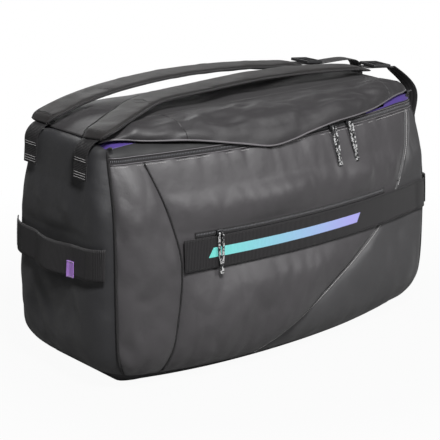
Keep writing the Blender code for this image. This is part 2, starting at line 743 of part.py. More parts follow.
clear_scene()
PARTS = collection("racket_duffel_bag")
CUTTERS = collection("cutters")
build_panels()
build_inside()
build_bands()
build_end_handle("left_end_handle", -1)
build_end_handle("right_end_handle", 1)
build_tag()
build_piping("left_piping", -1)
build_piping("right_piping", 1)
build_zips()
build_strap("front", FRONT_STRAP, -1, FRONT_PAD_OVER_TAB)
build_strap("rear", REAR_STRAP, 1, REAR_PAD_OVER_TAB)
report_axes()
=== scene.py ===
"""Looks of a racket duffel bag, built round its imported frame: sewn cloth, webbing, zips and padded straps."""

import json
import math

import bmesh
import bpy
import numpy as np
from bpy.props import FloatProperty, FloatVectorProperty, PointerProperty
from mathutils import Matrix, Vector, noise


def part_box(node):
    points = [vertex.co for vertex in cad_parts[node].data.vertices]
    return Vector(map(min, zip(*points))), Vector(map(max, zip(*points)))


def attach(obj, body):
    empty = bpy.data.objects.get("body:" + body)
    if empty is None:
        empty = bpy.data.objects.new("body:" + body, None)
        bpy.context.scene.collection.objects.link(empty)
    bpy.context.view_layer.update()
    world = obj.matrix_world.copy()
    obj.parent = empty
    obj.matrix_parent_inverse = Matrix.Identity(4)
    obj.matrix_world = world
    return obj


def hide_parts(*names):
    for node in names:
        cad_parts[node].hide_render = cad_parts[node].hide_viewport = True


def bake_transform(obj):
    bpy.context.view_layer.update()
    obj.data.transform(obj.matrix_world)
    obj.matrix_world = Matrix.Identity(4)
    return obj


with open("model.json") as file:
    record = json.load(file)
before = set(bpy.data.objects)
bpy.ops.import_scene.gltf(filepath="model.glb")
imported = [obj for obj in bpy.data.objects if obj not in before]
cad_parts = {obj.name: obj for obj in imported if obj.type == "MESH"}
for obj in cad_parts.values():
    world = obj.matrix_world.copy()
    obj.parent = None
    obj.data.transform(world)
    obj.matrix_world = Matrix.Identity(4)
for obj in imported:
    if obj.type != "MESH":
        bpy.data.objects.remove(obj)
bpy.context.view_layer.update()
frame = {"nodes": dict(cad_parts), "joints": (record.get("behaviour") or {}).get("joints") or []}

bl_info = {
    "name": "Racket Duffel Bag",
    "version": (1, 0, 0),
    "blender": (4, 5, 0),
    "location": "View3D > Sidebar > Duffel",
    "description": "Builds the cloth, webbing, zips and straps of a racket duffel bag round its frame",
    "category": "Object",
}

# Body form, in metres
MID_HALF_LENGTH = 0.345
RIM_HALF_LENGTH = 0.333
BASE_DRAW_IN = 0.025
MID_HALF_DEPTH = 0.175
RIM_HALF_DEPTH = 0.140
FRONT_BULGE = 0.035
CORNER_RADIUS = 0.055
BELLY_Z = 0.160
RIM_Z = 0.375
CROWN = 0.0295
BASE_ROUND = 0.070
BASE_TUCK = 0.016
BASE_LIFT = 0.016
BASE_INSET = 0.005
TOP_END_X = 0.315
END_SEAM_INSET = 0.020
SEAM_ALLOWANCE = 0.007
END_LAP = 0.036
PANEL_LOW_Z = 0.012
PANEL_TOP_Z = 0.3545
WALL_TOP_Z = 0.362
LIP_WALL_Z = 0.361
ROLL_START = 0.92
FOLD_Y = 0.058
FLAP_LEFT_X = -0.190
FLAP_RIGHT_X = 0.245
FACING_END_X = -0.248
GUSSET_END_X = -0.075
RIGHT_MOUTH_X = 0.180
CROWN_FALL_X = 0.235
CROWN_FALL_REACH = 0.098
LIFT_START_X = 0.12
LINING_INSET = 0.016
LINING_LOW_Z = 0.008
LINING_TOP_Z = 0.350
SEAM_LOW_Z = 0.016
ZIP_Z = 0.3585
ZIP_COIL_REACH = 0.312
COIL_PITCH = 0.0026
BAND_LEFT_X = -0.221
BAND_RIGHT_X = 0.320
BAND_Z = 0.2081
BAND_HALF = 0.025
POCKET_ZIP_Z = 0.2375
POCKET_ZIP_REACH = 0.200
ARC_HALF = RIM_HALF_LENGTH - CORNER_RADIUS
ARC_RADIUS = (ARC_HALF ** 2 + FRONT_BULGE ** 2) / (2 * FRONT_BULGE)
ARC_CENTRE_Y = ARC_RADIUS - RIM_HALF_DEPTH

# Half depth of the body from its belly to its rim, against height
SHOULDER = ((0.160, 0.1750), (0.200, 0.1745), (0.235, 0.1728), (0.265, 0.1700), (0.290, 0.1660),
            (0.320, 0.1579), (0.345, 0.1499), (0.375, 0.1400))

# Seams and edges: place against value
CORNER_SEAM = ((0.0, -0.244), (0.08, -0.232), (0.19, -0.222), (0.27, -0.238), (0.375, -0.270))
SLANT_SEAM = ((0.0, -0.105), (0.10, 0.060), (0.19, 0.200), (0.28, 0.262), (0.33, 0.283), (0.375, 0.291))
LIP_STAND = ((-0.325, -0.022), (-0.300, -0.021), (-0.250, -0.012), (-0.180, -0.002), (-0.100, 0.005),
             (-0.046, 0.011), (0.0, 0.010), (0.09, 0.009), (0.15, 0.006), (0.20, 0.002), (0.25, -0.004),
             (0.30, -0.009), (0.325, -0.012))
LIP_HEIGHT = ((-0.325, 0.3785), (-0.300, 0.387), (-0.250, 0.382), (-0.180, 0.3765), (-0.100, 0.362),
              (-0.046, 0.352), (0.0, 0.3555), (0.03, 0.361), (0.09, 0.3685), (0.15, 0.3695), (0.20, 0.3715),
              (0.25, 0.377), (0.30, 0.3795), (0.325, 0.3775))

# Straps, tabs, handles and tag; each strap is a path of points from its left end
FRONT_STRAP = ((-0.324, -0.072, 0.3895), (-0.300, -0.067, 0.3965), (-0.250, -0.050, 0.4080),
               (-0.180, -0.022, 0.416), (-0.080, -0.018, 0.420), (0.050, -0.010, 0.421),
               (0.180, -0.018, 0.417), (0.275, -0.030, 0.409))
REAR_STRAP = ((-0.324, 0.068, 0.3895), (-0.300, 0.068, 0.3985), (-0.250, 0.066, 0.4125),
              (-0.180, 0.062, 0.424), (-0.080, 0.060, 0.430), (0.030, 0.060, 0.427),
              (0.120, 0.062, 0.419), (0.205, 0.064, 0.410))
STRAP_WIDTH = 0.056
STRAP_THICK = 0.009
STRAP_STEPS = 120
TAB_Y = 0.066
TAB_WIDTH = 0.034
TAB_DROP = 0.045
WEB_WIDTH = 0.030
PATCH_SIDE = 0.034
PATCH_DROP = 0.030
HANDLE_HALF = 0.118
HANDLE_BOW = 0.0150
TAG_Y = -0.050
TAG_WIDTH = 0.016
TAG_HEIGHT = 0.026

# Settling of the wall cloth
SETTLE_STEPS = 90
SETTLE_TURNS = 5
SETTLE_DRAG = 0.94
SETTLE_PULL = 0.7
SETTLE_SMOOTHING = 2
INWARD_SHARE = 0.3

# Camera of the picture
CAMERA_TURN = -39.5
CAMERA_RISE = 16.8
CAMERA_REACH = 2.64
CAMERA_AIM = (-0.017, 0.007, 0.189)
CAMERA_LENS = 130.9

# Studio lights: name, place, size and power
LIGHTS = (
    ("key_light", (-0.80, -1.75, 2.35), 0.7, 100.0),
    ("sheen_light", (1.00, -2.30, 1.65), 0.9, 24.0),
    ("top_light", (-0.5, -0.2, 2.8), 1.6, 3.0),
    ("rim_light", (0.9, 2.4, 1.7), 1.6, 22.0),
)
LIGHT_AIM = Vector((0, 0, 0.2))
WORLD_FILL = 0.07

# Glow of the floor close by and far off, and the distances between which it changes
FLOOR_GLOW = (0.95, 1.0, 0.40, 0.95)


def colour_property(label, value, note):
    return FloatVectorProperty(name=label, description=note, subtype="COLOR", size=3, min=0.0, max=1.0,
                               default=value)


def length_property(label, value, note):
    return FloatProperty(name=label, description=note, unit="LENGTH", min=0.0, default=value, precision=4)


class DuffelSizes(bpy.types.PropertyGroup):
    """Sizes of the sewn details"""

    cloth_thick: length_property("Cloth thickness", 0.0022, "Thickness of the padded outer cloth")
    weave_pitch: length_property("Weave pitch", 0.0011, "Distance between yarns of the outer cloth")
    rib_pitch: length_property("Rib pitch", 0.0026, "Distance between ribs of the webbing")
    pucker_depth: length_property("Pucker depth", 0.0048, "Depth of the gathers below the main zip")
    crease_depth: length_property("Crease depth", 0.0115, "Depth of the loose folds in the panels")
    seam_depth: length_property("Seam depth", 0.0022, "How far cloth is drawn in along its seams")
    stitch_length: length_property("Stitch length", 0.0034, "Length of one stitch")
    thread_radius: length_property("Thread radius", 0.00035, "Radius of the sewing thread")
    hem_radius: length_property("Hem radius", 0.0016, "Radius of the rolled edge of the lid")
    web_thick: length_property("Webbing thickness", 0.0016, "Thickness of the webbing")


class DuffelColours(bpy.types.PropertyGroup):
    """Colours of cloth, webbing and hardware"""

    charcoal: colour_property("Charcoal cloth", (0.050, 0.047, 0.050), "Front, back and lid cloth")
    end_charcoal: colour_property("End cloth", (0.020, 0.020, 0.022), "End panels and base cloth")
    panel_grey: colour_property("Smooth panel", (0.050, 0.049, 0.051), "Cloth of the right front panel")
    webbing: colour_property("Webbing", (0.014, 0.013, 0.014), "Webbing, tapes and piping")
    strap: colour_property("Strap cloth", (0.012, 0.0105, 0.0105), "Cloth of the padded straps")
    lining: colour_property("Lining", (0.060, 0.034, 0.190), "Purple lining")
    tag: colour_property("Tag", (0.400, 0.200, 0.640), "Woven tag")
    thread: colour_property("Light thread", (0.42, 0.41, 0.41), "Thread of the seams that show")
    dark_thread: colour_property("Dark thread", (0.012, 0.012, 0.012), "Thread of the straps and webbing")
    metal: colour_property("Slider enamel", (0.030, 0.030, 0.032), "Zip sliders")
    plastic: colour_property("Buckle plastic", (0.018, 0.018, 0.019), "Buckles and pull tips")
    fleck: colour_property("Cord fleck", (0.46, 0.46, 0.46), "Pale flecks in the cord")
    stripe_start: colour_property("Stripe start", (0.16, 0.72, 0.62), "Left end of the webbing's stripe")
    stripe_end: colour_property("Stripe end", (0.42, 0.40, 0.85), "Right end of the webbing's stripe")
    floor: colour_property("Floor", (0.24, 0.24, 0.24), "Studio floor")


def sizes():
    return bpy.context.scene.duffel_sizes


def colours():
    return bpy.context.scene.duffel_colours


# Form of the bag
def smooth_value(table, place):
    """Value at a place on a smooth line through pairs of place and value."""
    last = len(table) - 1
    place = min(max(place, table[0][0]), table[last][0])
    k = 0
    while k < last - 1 and place > table[k + 1][0]:
        k += 1
    (x0, y0), (x1, y1) = table[k], table[k + 1]
    before, after = table[max(k - 1, 0)], table[min(k + 2, last)]
    m0 = (y1 - before[1]) / (x1 - before[0])
    m1 = (after[1] - y0) / (after[0] - x0)
    span = x1 - x0
    t = (place - x0) / span
    start = (2 * t ** 3 - 3 * t ** 2 + 1) * y0 + (t ** 3 - 2 * t ** 2 + t) * span * m0
    return start + (3 * t ** 2 - 2 * t ** 3) * y1 + (t ** 3 - t ** 2) * span * m1


def tuck(z):
    """How far the wall turns in near the base, over what the frame has."""
    return BASE_TUCK * max(0.0, 1.0 - z / BASE_ROUND) ** 2


def half_depth(z):
    if z >= BELLY_Z:
        return smooth_value(SHOULDER, z)
    return MID_HALF_DEPTH - BASE_DRAW_IN * ((BELLY_Z - z) / BELLY_Z) ** 4 - tuck(z)


def half_length(z):
    if z >= BELLY_Z:
        share = (z - BELLY_Z) / (RIM_Z - BELLY_Z)
        return MID_HALF_LENGTH - (MID_HALF_LENGTH - RIM_HALF_LENGTH) * share ** 2
    return MID_HALF_LENGTH - BASE_DRAW_IN * ((BELLY_Z - z) / BELLY_Z) ** 4 - tuck(z)


def front_y(x, depth):
    return ARC_CENTRE_Y - math.sqrt((ARC_CENTRE_Y + depth) ** 2 - x * x)


def corner_start(z):
    return -front_y(half_length(z) - CORNER_RADIUS, half_depth(z)) - CORNER_RADIUS


def wall_y(x, z):
    """Front wall at x and height z, as a distance from the middle."""
    past = abs(x) - (half_length(z) - CORNER_RADIUS)
    if past <= 0.0:
        return -front_y(x, half_depth(z))
    return corner_start(z) + math.sqrt(max(0.0, CORNER_RADIUS ** 2 - past ** 2))


def end_x(y, z):
    """End wall at side position y and height z, as a distance from the middle."""
    past = max(0.0, abs(y) - corner_start(z))
    return half_length(z) - CORNER_RADIUS + math.sqrt(max(0.0, CORNER_RADIUS ** 2 - past ** 2))


def end_fall(x):
    """Share of the crown left near the ends."""
    past = max(0.0, abs(x) - CROWN_FALL_X) / CROWN_FALL_REACH
    return 1.0 - past ** 2


def fold_height(x):
    return RIM_Z + CROWN * end_fall(x)


def edge_share(u, v, reach_u, reach_v):
    """1 inside a panel, falling to 0 on its borders."""
    across = min(1.0, min(u, 1.0 - u) / reach_u)
    up = min(1.0, min(v, 1.0 - v) / reach_v)
    return math.sin(0.5 * math.pi * across) * math.sin(0.5 * math.pi * up)


FOLD_STEPS = (Vector((17.3, 9.1, 4.7)), Vector((-8.9, 21.7, 13.3)), Vector((5.1, -14.9, 27.1)))


def folds(place, seed, scale):
    """Loose cloth folds from smooth noise, about -1 to 1."""
    shift = Vector((seed * 7.3, seed * 3.1, seed * 5.7))
    wide = place * scale * 0.5 + shift
    bend = Vector([noise.noise(wide + step) for step in FOLD_STEPS]) * 0.6
    return noise.noise(place * scale + bend + shift)


# Meshes
def new_object(name, mesh):
    obj = bpy.data.objects.new(name, mesh)
    bpy.context.scene.collection.objects.link(obj)
    return obj


def paint(obj, look, inside=None):
    """Gives a piece its material, and a second one for its inside if there is one."""
    obj.data.materials.append(finish(look))
    if inside:
        obj.data.materials.append(finish(inside))


def mount(obj, look, slot, node=None, body="bag", inside=None):
    """Gives a made piece its material and the body that carries it, and hides the frame node it stands for."""
    paint(obj, look, inside)
    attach(obj, body)
    if node:
        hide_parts(node)


def dress(node, look):
    """Gives a node of the frame that stays in view its material."""
    frame["nodes"][node].data.materials.clear()
    paint(frame["nodes"][node], look)


def shade_smooth(mesh):
    for face in mesh.polygons:
        face.use_smooth = True


def spaced(low, high, count):
    """Evenly spaced values from low to high."""
    return [low + (high - low) * i / (count - 1) for i in range(count)]


def mesh_area(obj):
    return sum(face.area for face in obj.data.polygons)


def bent(start, turn, end, t):
    """Point on a curve from start to end, drawn towards turn."""
    return start * (1 - t) ** 2 + turn * 2 * t * (1 - t) + end * t ** 2


def clean(mesh, fill=False):
    """Joins doubled points, closes open ends if asked, and turns the faces outwards."""
    bm = bmesh.new()
    bm.from_mesh(mesh)
    bmesh.ops.remove_doubles(bm, verts=bm.verts, dist=1e-6)
    if fill:
        bmesh.ops.holes_fill(bm, edges=[e for e in bm.edges if e.is_boundary], sides=0)
    bmesh.ops.recalc_face_normals(bm, faces=bm.faces)
    bm.to_mesh(mesh)
    bm.free()
    shade_smooth(mesh)


def smooth_mesh(bm, name):
    mesh = bpy.data.meshes.new(name)
    bm.to_mesh(mesh)
    bm.free()
    shade_smooth(mesh)
    return mesh


def laid_grid(name, columns, rows, form, depth=None, wrap=False):
    """Grid of cloth laid by form(u, v), raised by depth(u, v), with its size in metres as its UV map."""
    middle = [form(i / 20, 0.5) for i in range(21)]
    side = [form(0.5, i / 20) for i in range(21)]
    width = sum((b - a).length for a, b in zip(middle, middle[1:]))
    height = sum((b - a).length for a, b in zip(side, side[1:]))
    bm = bmesh.new()
    bmesh.ops.create_grid(bm, x_segments=columns, y_segments=rows, size=0.5)
    layer = bm.loops.layers.uv.new("cloth")
    for face in bm.faces:
        for loop in face.loops:
            loop[layer].uv = ((loop.vert.co.x + 0.5) * width, (loop.vert.co.y + 0.5) * height)
    step = 0.01
    for vert in bm.verts:
        u, v = vert.co.x + 0.5, vert.co.y + 0.5
        place = form(u, v)
        if depth:
            along = form(min(u + step, 1.0), v) - form(max(u - step, 0.0), v)
            up = form(u, min(v + step, 1.0)) - form(u, max(v - step, 0.0))
            place = place + along.cross(up).normalized() * depth(u, v)
        vert.co = place
    if wrap:
        bmesh.ops.remove_doubles(bm, verts=bm.verts, dist=1e-6)
    obj = new_object(name, smooth_mesh(bm, name))
    return obj, (width, height)


def thicken(obj, thick, inner=False):
    """Gives cloth its thickness, inwards; inner paints the inside with the second material."""
    wall = obj.modifiers.new("thickness", "SOLIDIFY")
    wall.thickness = thick
    wall.offset = -1.0
    wall.use_even_offset = True
    if inner:
        wall.material_offset = 1
        wall.material_offset_rim = 0


def subdivide(obj):
    fine = obj.modifiers.new("fine", "SUBSURF")
    fine.levels = 1
    fine.render_levels = 1


def held(place):
    """Cloth sewn down: under webbing, along the slanted seam, and the laps of the end panels."""
    seam = end_seam(place.z)
    slanted = place.y < -0.06 and abs(place.x - slant_seam(place.z)) < 0.0085
    return slanted or free_of_band(place) < 0.05 or seam - 0.008 < abs(place.x) < seam + 0.003


def billow(obj, slack, push, cap):
    """Lets cloth held at its borders billow and crease, settled in equal steps, within a cap."""
    mesh = obj.data
    count = len(mesh.vertices)
    start = np.array([v.co for v in mesh.vertices])
    out = np.array([v.normal for v in mesh.vertices])
    quads = np.array([face.vertices[:] for face in mesh.polygons])
    edges = np.array([edge.vertices[:] for edge in mesh.edges])
    bm = bmesh.new()
    bm.from_mesh(mesh)
    free = np.array([0.0 if v.is_boundary or held(v.co) else 1.0 for v in bm.verts])
    room = cap * np.array([max(0.05, free_of_band(v.co)) for v in bm.verts])
    bm.free()
    links = np.concatenate([edges, quads[:, [0, 2]], quads[:, [1, 3]]])
    one, two = links[:, 0], links[:, 1]
    rest = np.linalg.norm(start[two] - start[one], axis=1) * (1.0 + slack)
    share = free / np.bincount(links.ravel(), minlength=count)
    place = start.copy()
    before = start.copy()
    for _ in range(SETTLE_STEPS):
        speed = SETTLE_DRAG * (place - before)
        before = place.copy()
        place = place + (speed + push * out) * free[:, None]
        for _ in range(SETTLE_TURNS):
            gap = place[two] - place[one]
            length = np.linalg.norm(gap, axis=1)
            move = gap * (SETTLE_PULL * (length - rest) / length)[:, None]
            for axis in range(3):
                pull = np.bincount(one, move[:, axis], count) - np.bincount(two, move[:, axis], count)
                place[:, axis] += pull * share
    rise = np.sum((place - start) * out, axis=1)
    near = np.bincount(edges.ravel(), minlength=count)
    for _ in range(SETTLE_SMOOTHING):
        around = np.bincount(edges[:, 0], rise[edges[:, 1]], count)
        around += np.bincount(edges[:, 1], rise[edges[:, 0]], count)
        rise = (0.5 * rise + 0.5 * around / near) * free
    room = np.where(rise > 0.0, room, INWARD_SHARE * room)
    rise = room * np.tanh(rise / room)
    for vert, low, normal, lift in zip(mesh.vertices, start, out, rise):
        vert.co = low + normal * lift


def finish_cloth(obj, look, node, slot, thick=None, inside=None):
    """Materials, thickness and body of a cloth panel of the bag, with the frame node it stands for hidden."""
    subdivide(obj)
    thicken(obj, thick or sizes().cloth_thick, inside is not None)
    mount(obj, look, slot, node, inside=inside)


def smooth_path(points, steps):
    """Points along a smooth curve through the given ones."""
    ends = [2 * Vector(points[0]) - Vector(points[1])] + [Vector(p) for p in points]
    ends.append(2 * Vector(points[-1]) - Vector(points[-2]))
    spans = len(points) - 1
    path = []
    for i in range(steps + 1):
        place = min(i / steps * spans, spans - 1e-9)
        k = int(place)
        t = place - k
        a, b, c, d = ends[k:k + 4]
        square = (2 * a - 5 * b + 4 * c - d) * t ** 2
        cube = (3 * b - a - 3 * c + d) * t ** 3
        path.append(0.5 * (2 * b + (c - a) * t + square + cube))
    return path


def path_frames(path, side):
    """Direction, width direction and outward direction at each point of a path."""
    made = []
    last = len(path) - 1
    for i in range(last + 1):
        ahead = (path[min(i + 1, last)] - path[max(i - 1, 0)]).normalized()
        across = Vector(side)
        across = (across - ahead * across.dot(ahead)).normalized()
        made.append((ahead, across, ahead.cross(across)))
    return made


def ribbon(name, path, side, section, around, width_at=None):
    """Closed strip along a path; section(share round it) gives its width and height offsets."""
    frames = path_frames(path, side)
    last = len(path) - 1

    def form(u, v):
        i = min(last, max(0, round(u * last)))
        w, h = section(v)
        _, across, normal = frames[i]
        grow = width_at(u) if width_at else (1.0, 1.0)
        return path[i] + across * (w * grow[0]) + normal * (h * grow[1])

    obj, _ = laid_grid(name, last, around, form)
    clean(obj.data, fill=True)
    return obj


def flat_section(width, thick):
    """Section of webbing: flat with softly rounded edges, its underside at zero."""
    def section(v):
        turn = 2 * math.pi * v
        c, s = math.cos(turn), math.sin(turn)
        w = math.copysign(abs(c) ** 0.25, c)
        h = math.copysign(abs(s) ** 0.6, s)
        return w * width / 2, thick / 2 * (1.0 + h)
    return section


def padded_section(width, thick):
    """Section of a padded strap: crowned both sides, with a thin sewn edge."""
    def section(v):
        turn = 2 * math.pi * v
        c, s = math.cos(turn), math.sin(turn)
        w = math.copysign(abs(c) ** 0.55, c)
        crown = abs(s) ** 0.85
        edge = 0.22 if abs(w) > 0.86 else 1.0
        return w * width / 2, thick / 2 * (1.0 + math.copysign(crown * edge, s))
    return section


def tube(name, points, radius, closed=False):
    """Round cord along points, made a mesh with filled ends."""
    data = bpy.data.curves.new(name, "CURVE")
    data.dimensions = "3D"
    data.bevel_depth = radius
    data.bevel_resolution = 2
    data.use_fill_caps = True
    spline = data.splines.new("POLY")
    spline.points.add(len(points) - 1)
    for target, point in zip(spline.points, points):
        target.co = (*point, 1.0)
    spline.use_cyclic_u = closed
    path = bpy.data.objects.new(name + "_path", data)
    bpy.context.scene.collection.objects.link(path)
    bpy.context.view_layer.update()
    mesh = bpy.data.meshes.new_from_object(path.evaluated_get(bpy.context.evaluated_depsgraph_get()))
    bpy.data.objects.remove(path)
    clean(mesh)
    return new_object(name, mesh)


def stitches(name, lines, thread, slot, length=None, thick=1.0):
    """Rows of short thread stitches along lines of points."""
    pitch = length or sizes().stitch_length
    radius = sizes().thread_radius * thick
    bm = bmesh.new()
    for line in lines:
        run = 0.0
        next_stitch = pitch * 0.5
        for a, b in zip(line, line[1:]):
            gap = (b - a).length
            while gap > 1e-9 and next_stitch <= run + gap:
                place = a + (b - a) * ((next_stitch - run) / gap)
                turn = (b - a).to_track_quat("Z", "Y").to_matrix().to_4x4()
                made = bmesh.ops.create_cone(bm, cap_ends=True, segments=6, radius1=radius, radius2=radius,
                                             depth=pitch * 0.68, matrix=Matrix.Translation(place) @ turn)
                caps = [f for v in made["verts"] for f in v.link_faces if len(f.verts) == 6]
                bmesh.ops.poke(bm, faces=list(dict.fromkeys(caps)), offset=radius * 0.6)
                next_stitch += pitch
            run += gap
    mount(new_object(name, smooth_mesh(bm, name)), thread, slot)


# Materials
class Finish:
    """A node material and the few links that build it."""

    def __init__(self, name, roughness, metallic=0.0, sheen=0.0, specular=0.5):
        self.material = bpy.data.materials.new(name)
        self.material.use_nodes = True
        self.tree = self.material.node_tree
        self.shader = self.tree.nodes["Principled BSDF"]
        values = {"Roughness": roughness, "Metallic": metallic, "Sheen Weight": sheen,
                  "Sheen Roughness": 0.45, "Specular IOR Level": specular}
        for socket, value in values.items():
            self.shader.inputs[socket].default_value = value
        self.coords = self.node("ShaderNodeTexCoord")

    def node(self, kind, **values):
        made = self.tree.nodes.new(kind)
        for key, value in values.items():
            if key in made.inputs:
                made.inputs[key].default_value = value
            else:
                setattr(made, key, value)
        return made

    def link(self, out, into):
        self.tree.links.new(out, into)

    def noise(self, scale, detail=4.0):
        made = self.node("ShaderNodeTexNoise", Scale=scale, Detail=detail)
        self.link(self.coords.outputs["Object"], made.inputs["Vector"])
        return made.outputs["Fac"]

    def wave(self, direction, pitch):
        """Bands across the cloth, one for each pitch in metres."""
        made = self.node("ShaderNodeTexWave", wave_type="BANDS", bands_direction=direction)
        made.inputs["Scale"].default_value = 0.31416 / pitch
        self.link(self.coords.outputs["UV"], made.inputs["Vector"])
        return made.outputs["Fac"]

    def math(self, operation, a, b):
        made = self.node("ShaderNodeMath", operation=operation)
        for value, socket in zip((a, b), made.inputs):
            if isinstance(value, (int, float)):
                socket.default_value = value
            else:
                self.link(value, socket)
        return made.outputs[0]

    def spread(self, value, low, high, start=0.0, end=1.0):
        """Maps a value between start and end on to a range."""
        limits = {"From Min": start, "From Max": end, "To Min": low, "To Max": high}
        made = self.node("ShaderNodeMapRange", **limits)
        self.link(value, made.inputs["Value"])
        return made.outputs["Result"]

    def mix(self, factor, a, b):
        made = self.node("ShaderNodeMix", data_type="RGBA")
        self.link(factor, made.inputs["Factor"])
        for value, socket in zip((a, b), (made.inputs[6], made.inputs[7])):
            if isinstance(value, bpy.types.NodeSocket):
                self.link(value, socket)
            else:
                socket.default_value = (*value, 1.0)
        return made.outputs[2]

    def shades(self, factor, colour, low, high):
        """Mixes two shades of one colour."""
        return self.mix(factor, scaled(colour, low), scaled(colour, high))

    def bumps(self, *layers):
        """Stacks height layers, each a value, its depth in metres and its strength."""
        last = None
        for value, depth, strength in layers:
            made = self.node("ShaderNodeBump", Distance=depth, Strength=strength)
            self.link(value, made.inputs["Height"])
            if last:
                self.link(last, made.inputs["Normal"])
            last = made.outputs["Normal"]
        self.link(last, self.shader.inputs["Normal"])

    def colour(self, value):
        self.link(value, self.shader.inputs["Base Color"])

    def roughness(self, value):
        self.link(value, self.shader.inputs["Roughness"])


def scaled(colour, factor):
    return tuple(min(1.0, c * factor) for c in colour)


def cloth_finish(name, colour, roughness=0.50, sheen=0.10, pitch=None, specular=0.60):
    """Plain-woven polyester: yarns both ways, faint blotches, and painted highlight on the high places of the
    weave.
    """
    made = Finish(name, roughness, sheen=sheen, specular=specular)
    pitch = pitch or sizes().weave_pitch
    warp = made.wave("X", pitch)
    weft = made.wave("Y", pitch)
    weave = made.math("MULTIPLY", warp, weft)
    blotch = made.noise(9.0, 5.0)
    fine = made.noise(420.0, 2.0)
    base = made.shades(blotch, colour, 0.82, 1.20)
    # Painted highlight: the crests of the weave are lightened in the colour.
    weave_crest_highlight = made.mix(made.spread(weave, 0.0, 0.35), base, scaled(colour, 1.65))
    made.colour(weave_crest_highlight)
    made.roughness(made.spread(made.noise(26.0, 3.0), roughness - 0.10, roughness + 0.12))
    ridge = made.math("ABSOLUTE", made.math("SUBTRACT", made.noise(15.0, 3.0), 0.5), 0.0)
    made.bumps((weave, 0.00012, 0.55), (fine, 0.00010, 0.30), (made.noise(24.0, 4.0), 0.0030, 0.20),
               (made.noise(70.0, 3.0), 0.0016, 0.30), (ridge, 0.0070, 0.26))
    return made.material


def ribs(made, colour, direction, pitch):
    """Ribs and cross weave of webbing, and its colour over the ribs, with painted shade in the grooves and
    painted highlight on the crests.
    """
    rib = made.wave(direction, pitch)
    cross = made.wave("Y" if direction == "X" else "X", pitch * 0.45)
    # The rib colour runs from dark in the grooves to light on the crests: painted shade and highlight.
    return rib, cross, made.shades(rib, colour, 0.45, 1.9)


def webbing_finish(name, colour, direction, pitch=None):
    """Ribbed webbing with a fine cross weave."""
    made = Finish(name, 0.62, sheen=0.10, specular=0.35)
    rib, cross, shade = ribs(made, colour, direction, pitch or sizes().rib_pitch)
    made.colour(made.mix(made.spread(made.noise(40.0), 0.0, 0.4), shade, scaled(colour, 1.3)))
    made.bumps((rib, 0.0006, 0.9), (cross, 0.00015, 0.5), (made.noise(500.0, 2.0), 0.0001, 0.3))
    return made.material


def striped_webbing_finish(name, colour, start, end, width):
    """Ribbed webbing with one plain woven stripe that shades from one colour to another."""
    made = Finish(name, 0.60, sheen=0.08, specular=0.35)
    # thread is the ribbed webbing colour, with painted shade in the grooves and painted highlight on the
    # crests.
    rib, cross, thread = ribs(made, colour, "X", sizes().rib_pitch)
    split = made.node("ShaderNodeSeparateXYZ")
    made.link(made.coords.outputs["UV"], split.inputs[0])
    along, up = split.outputs[0], split.outputs[1]
    middle = made.math("ABSOLUTE", made.math("SUBTRACT", up, BAND_HALF), 0.0)
    in_height = made.math("LESS_THAN", middle, 0.0075)
    slanted = made.math("SUBTRACT", along, made.math("MULTIPLY", up, 0.6))
    first, last = 0.030, width * 0.62
    after_start = made.math("GREATER_THAN", slanted, first)
    before_end = made.math("LESS_THAN", slanted, last)
    mask = made.math("MULTIPLY", in_height, made.math("MULTIPLY", after_start, before_end))
    dye = made.mix(made.spread(along, 0.0, 1.0, first, last), start, end)
    made.colour(made.mix(mask, thread, dye))
    made.bumps((rib, 0.0006, 0.9), (cross, 0.00015, 0.5))
    return made.material


def lining_finish(name, colour):
    made = Finish(name, 0.45, sheen=0.2, specular=0.45)
    warp = made.wave("X", 0.0008)
    made.colour(made.shades(made.noise(14.0), colour, 0.75, 1.25))
    made.bumps((warp, 0.0001, 0.4), (made.noise(45.0, 4.0), 0.0012, 0.5))
    return made.material


def moulded_finish(name, colour, roughness, metallic=0.0):
    """Moulded plastic or enamel with a fine spark grain, painted highlight on sharp edges and painted shade in
    hollows.
    """
    made = Finish(name, roughness, metallic=metallic, specular=0.5)
    edge = made.node("ShaderNodeNewGeometry")
    # Painted highlight and shade: lighter where the surface is sharp and convex, darker in hollows.
    edge_highlight_hollow_shade = made.spread(edge.outputs["Pointiness"], -3.0, 4.0)
    clamp = made.node("ShaderNodeClamp")
    made.link(edge_highlight_hollow_shade, clamp.inputs["Value"])
    base = made.shades(made.noise(120.0), colour, 0.8, 1.25)
    made.colour(made.mix(made.math("MULTIPLY", clamp.outputs[0], 0.12), base, scaled(colour, 5.0)))
    made.roughness(made.spread(made.noise(300.0), roughness - 0.08, roughness + 0.10))
    made.bumps((made.noise(1400.0, 1.0), 0.00008, 0.4))
    return made.material


def cord_finish(name, colour, fleck):
    """Braided cord: dark yarn with pale flecks."""
    made = Finish(name, 0.55, sheen=0.1)
    cells = made.node("ShaderNodeTexVoronoi", Scale=520.0)
    made.link(made.coords.outputs["Object"], cells.inputs["Vector"])
    grey = made.node("ShaderNodeSeparateColor")
    made.link(cells.outputs["Color"], grey.inputs[0])
    pale = made.math("GREATER_THAN", grey.outputs[0], 0.58)
    made.colour(made.mix(pale, colour, fleck))
    made.bumps((cells.outputs["Distance"], 0.0004, 0.7))
    return made.material


def thread_finish(name, colour):
    made = Finish(name, 0.5, sheen=0.15)
    made.colour(made.shades(made.noise(900.0, 2.0), colour, 0.7, 1.25))
    made.bumps((made.noise(2500.0, 1.0), 0.00005, 0.4))
    return made.material


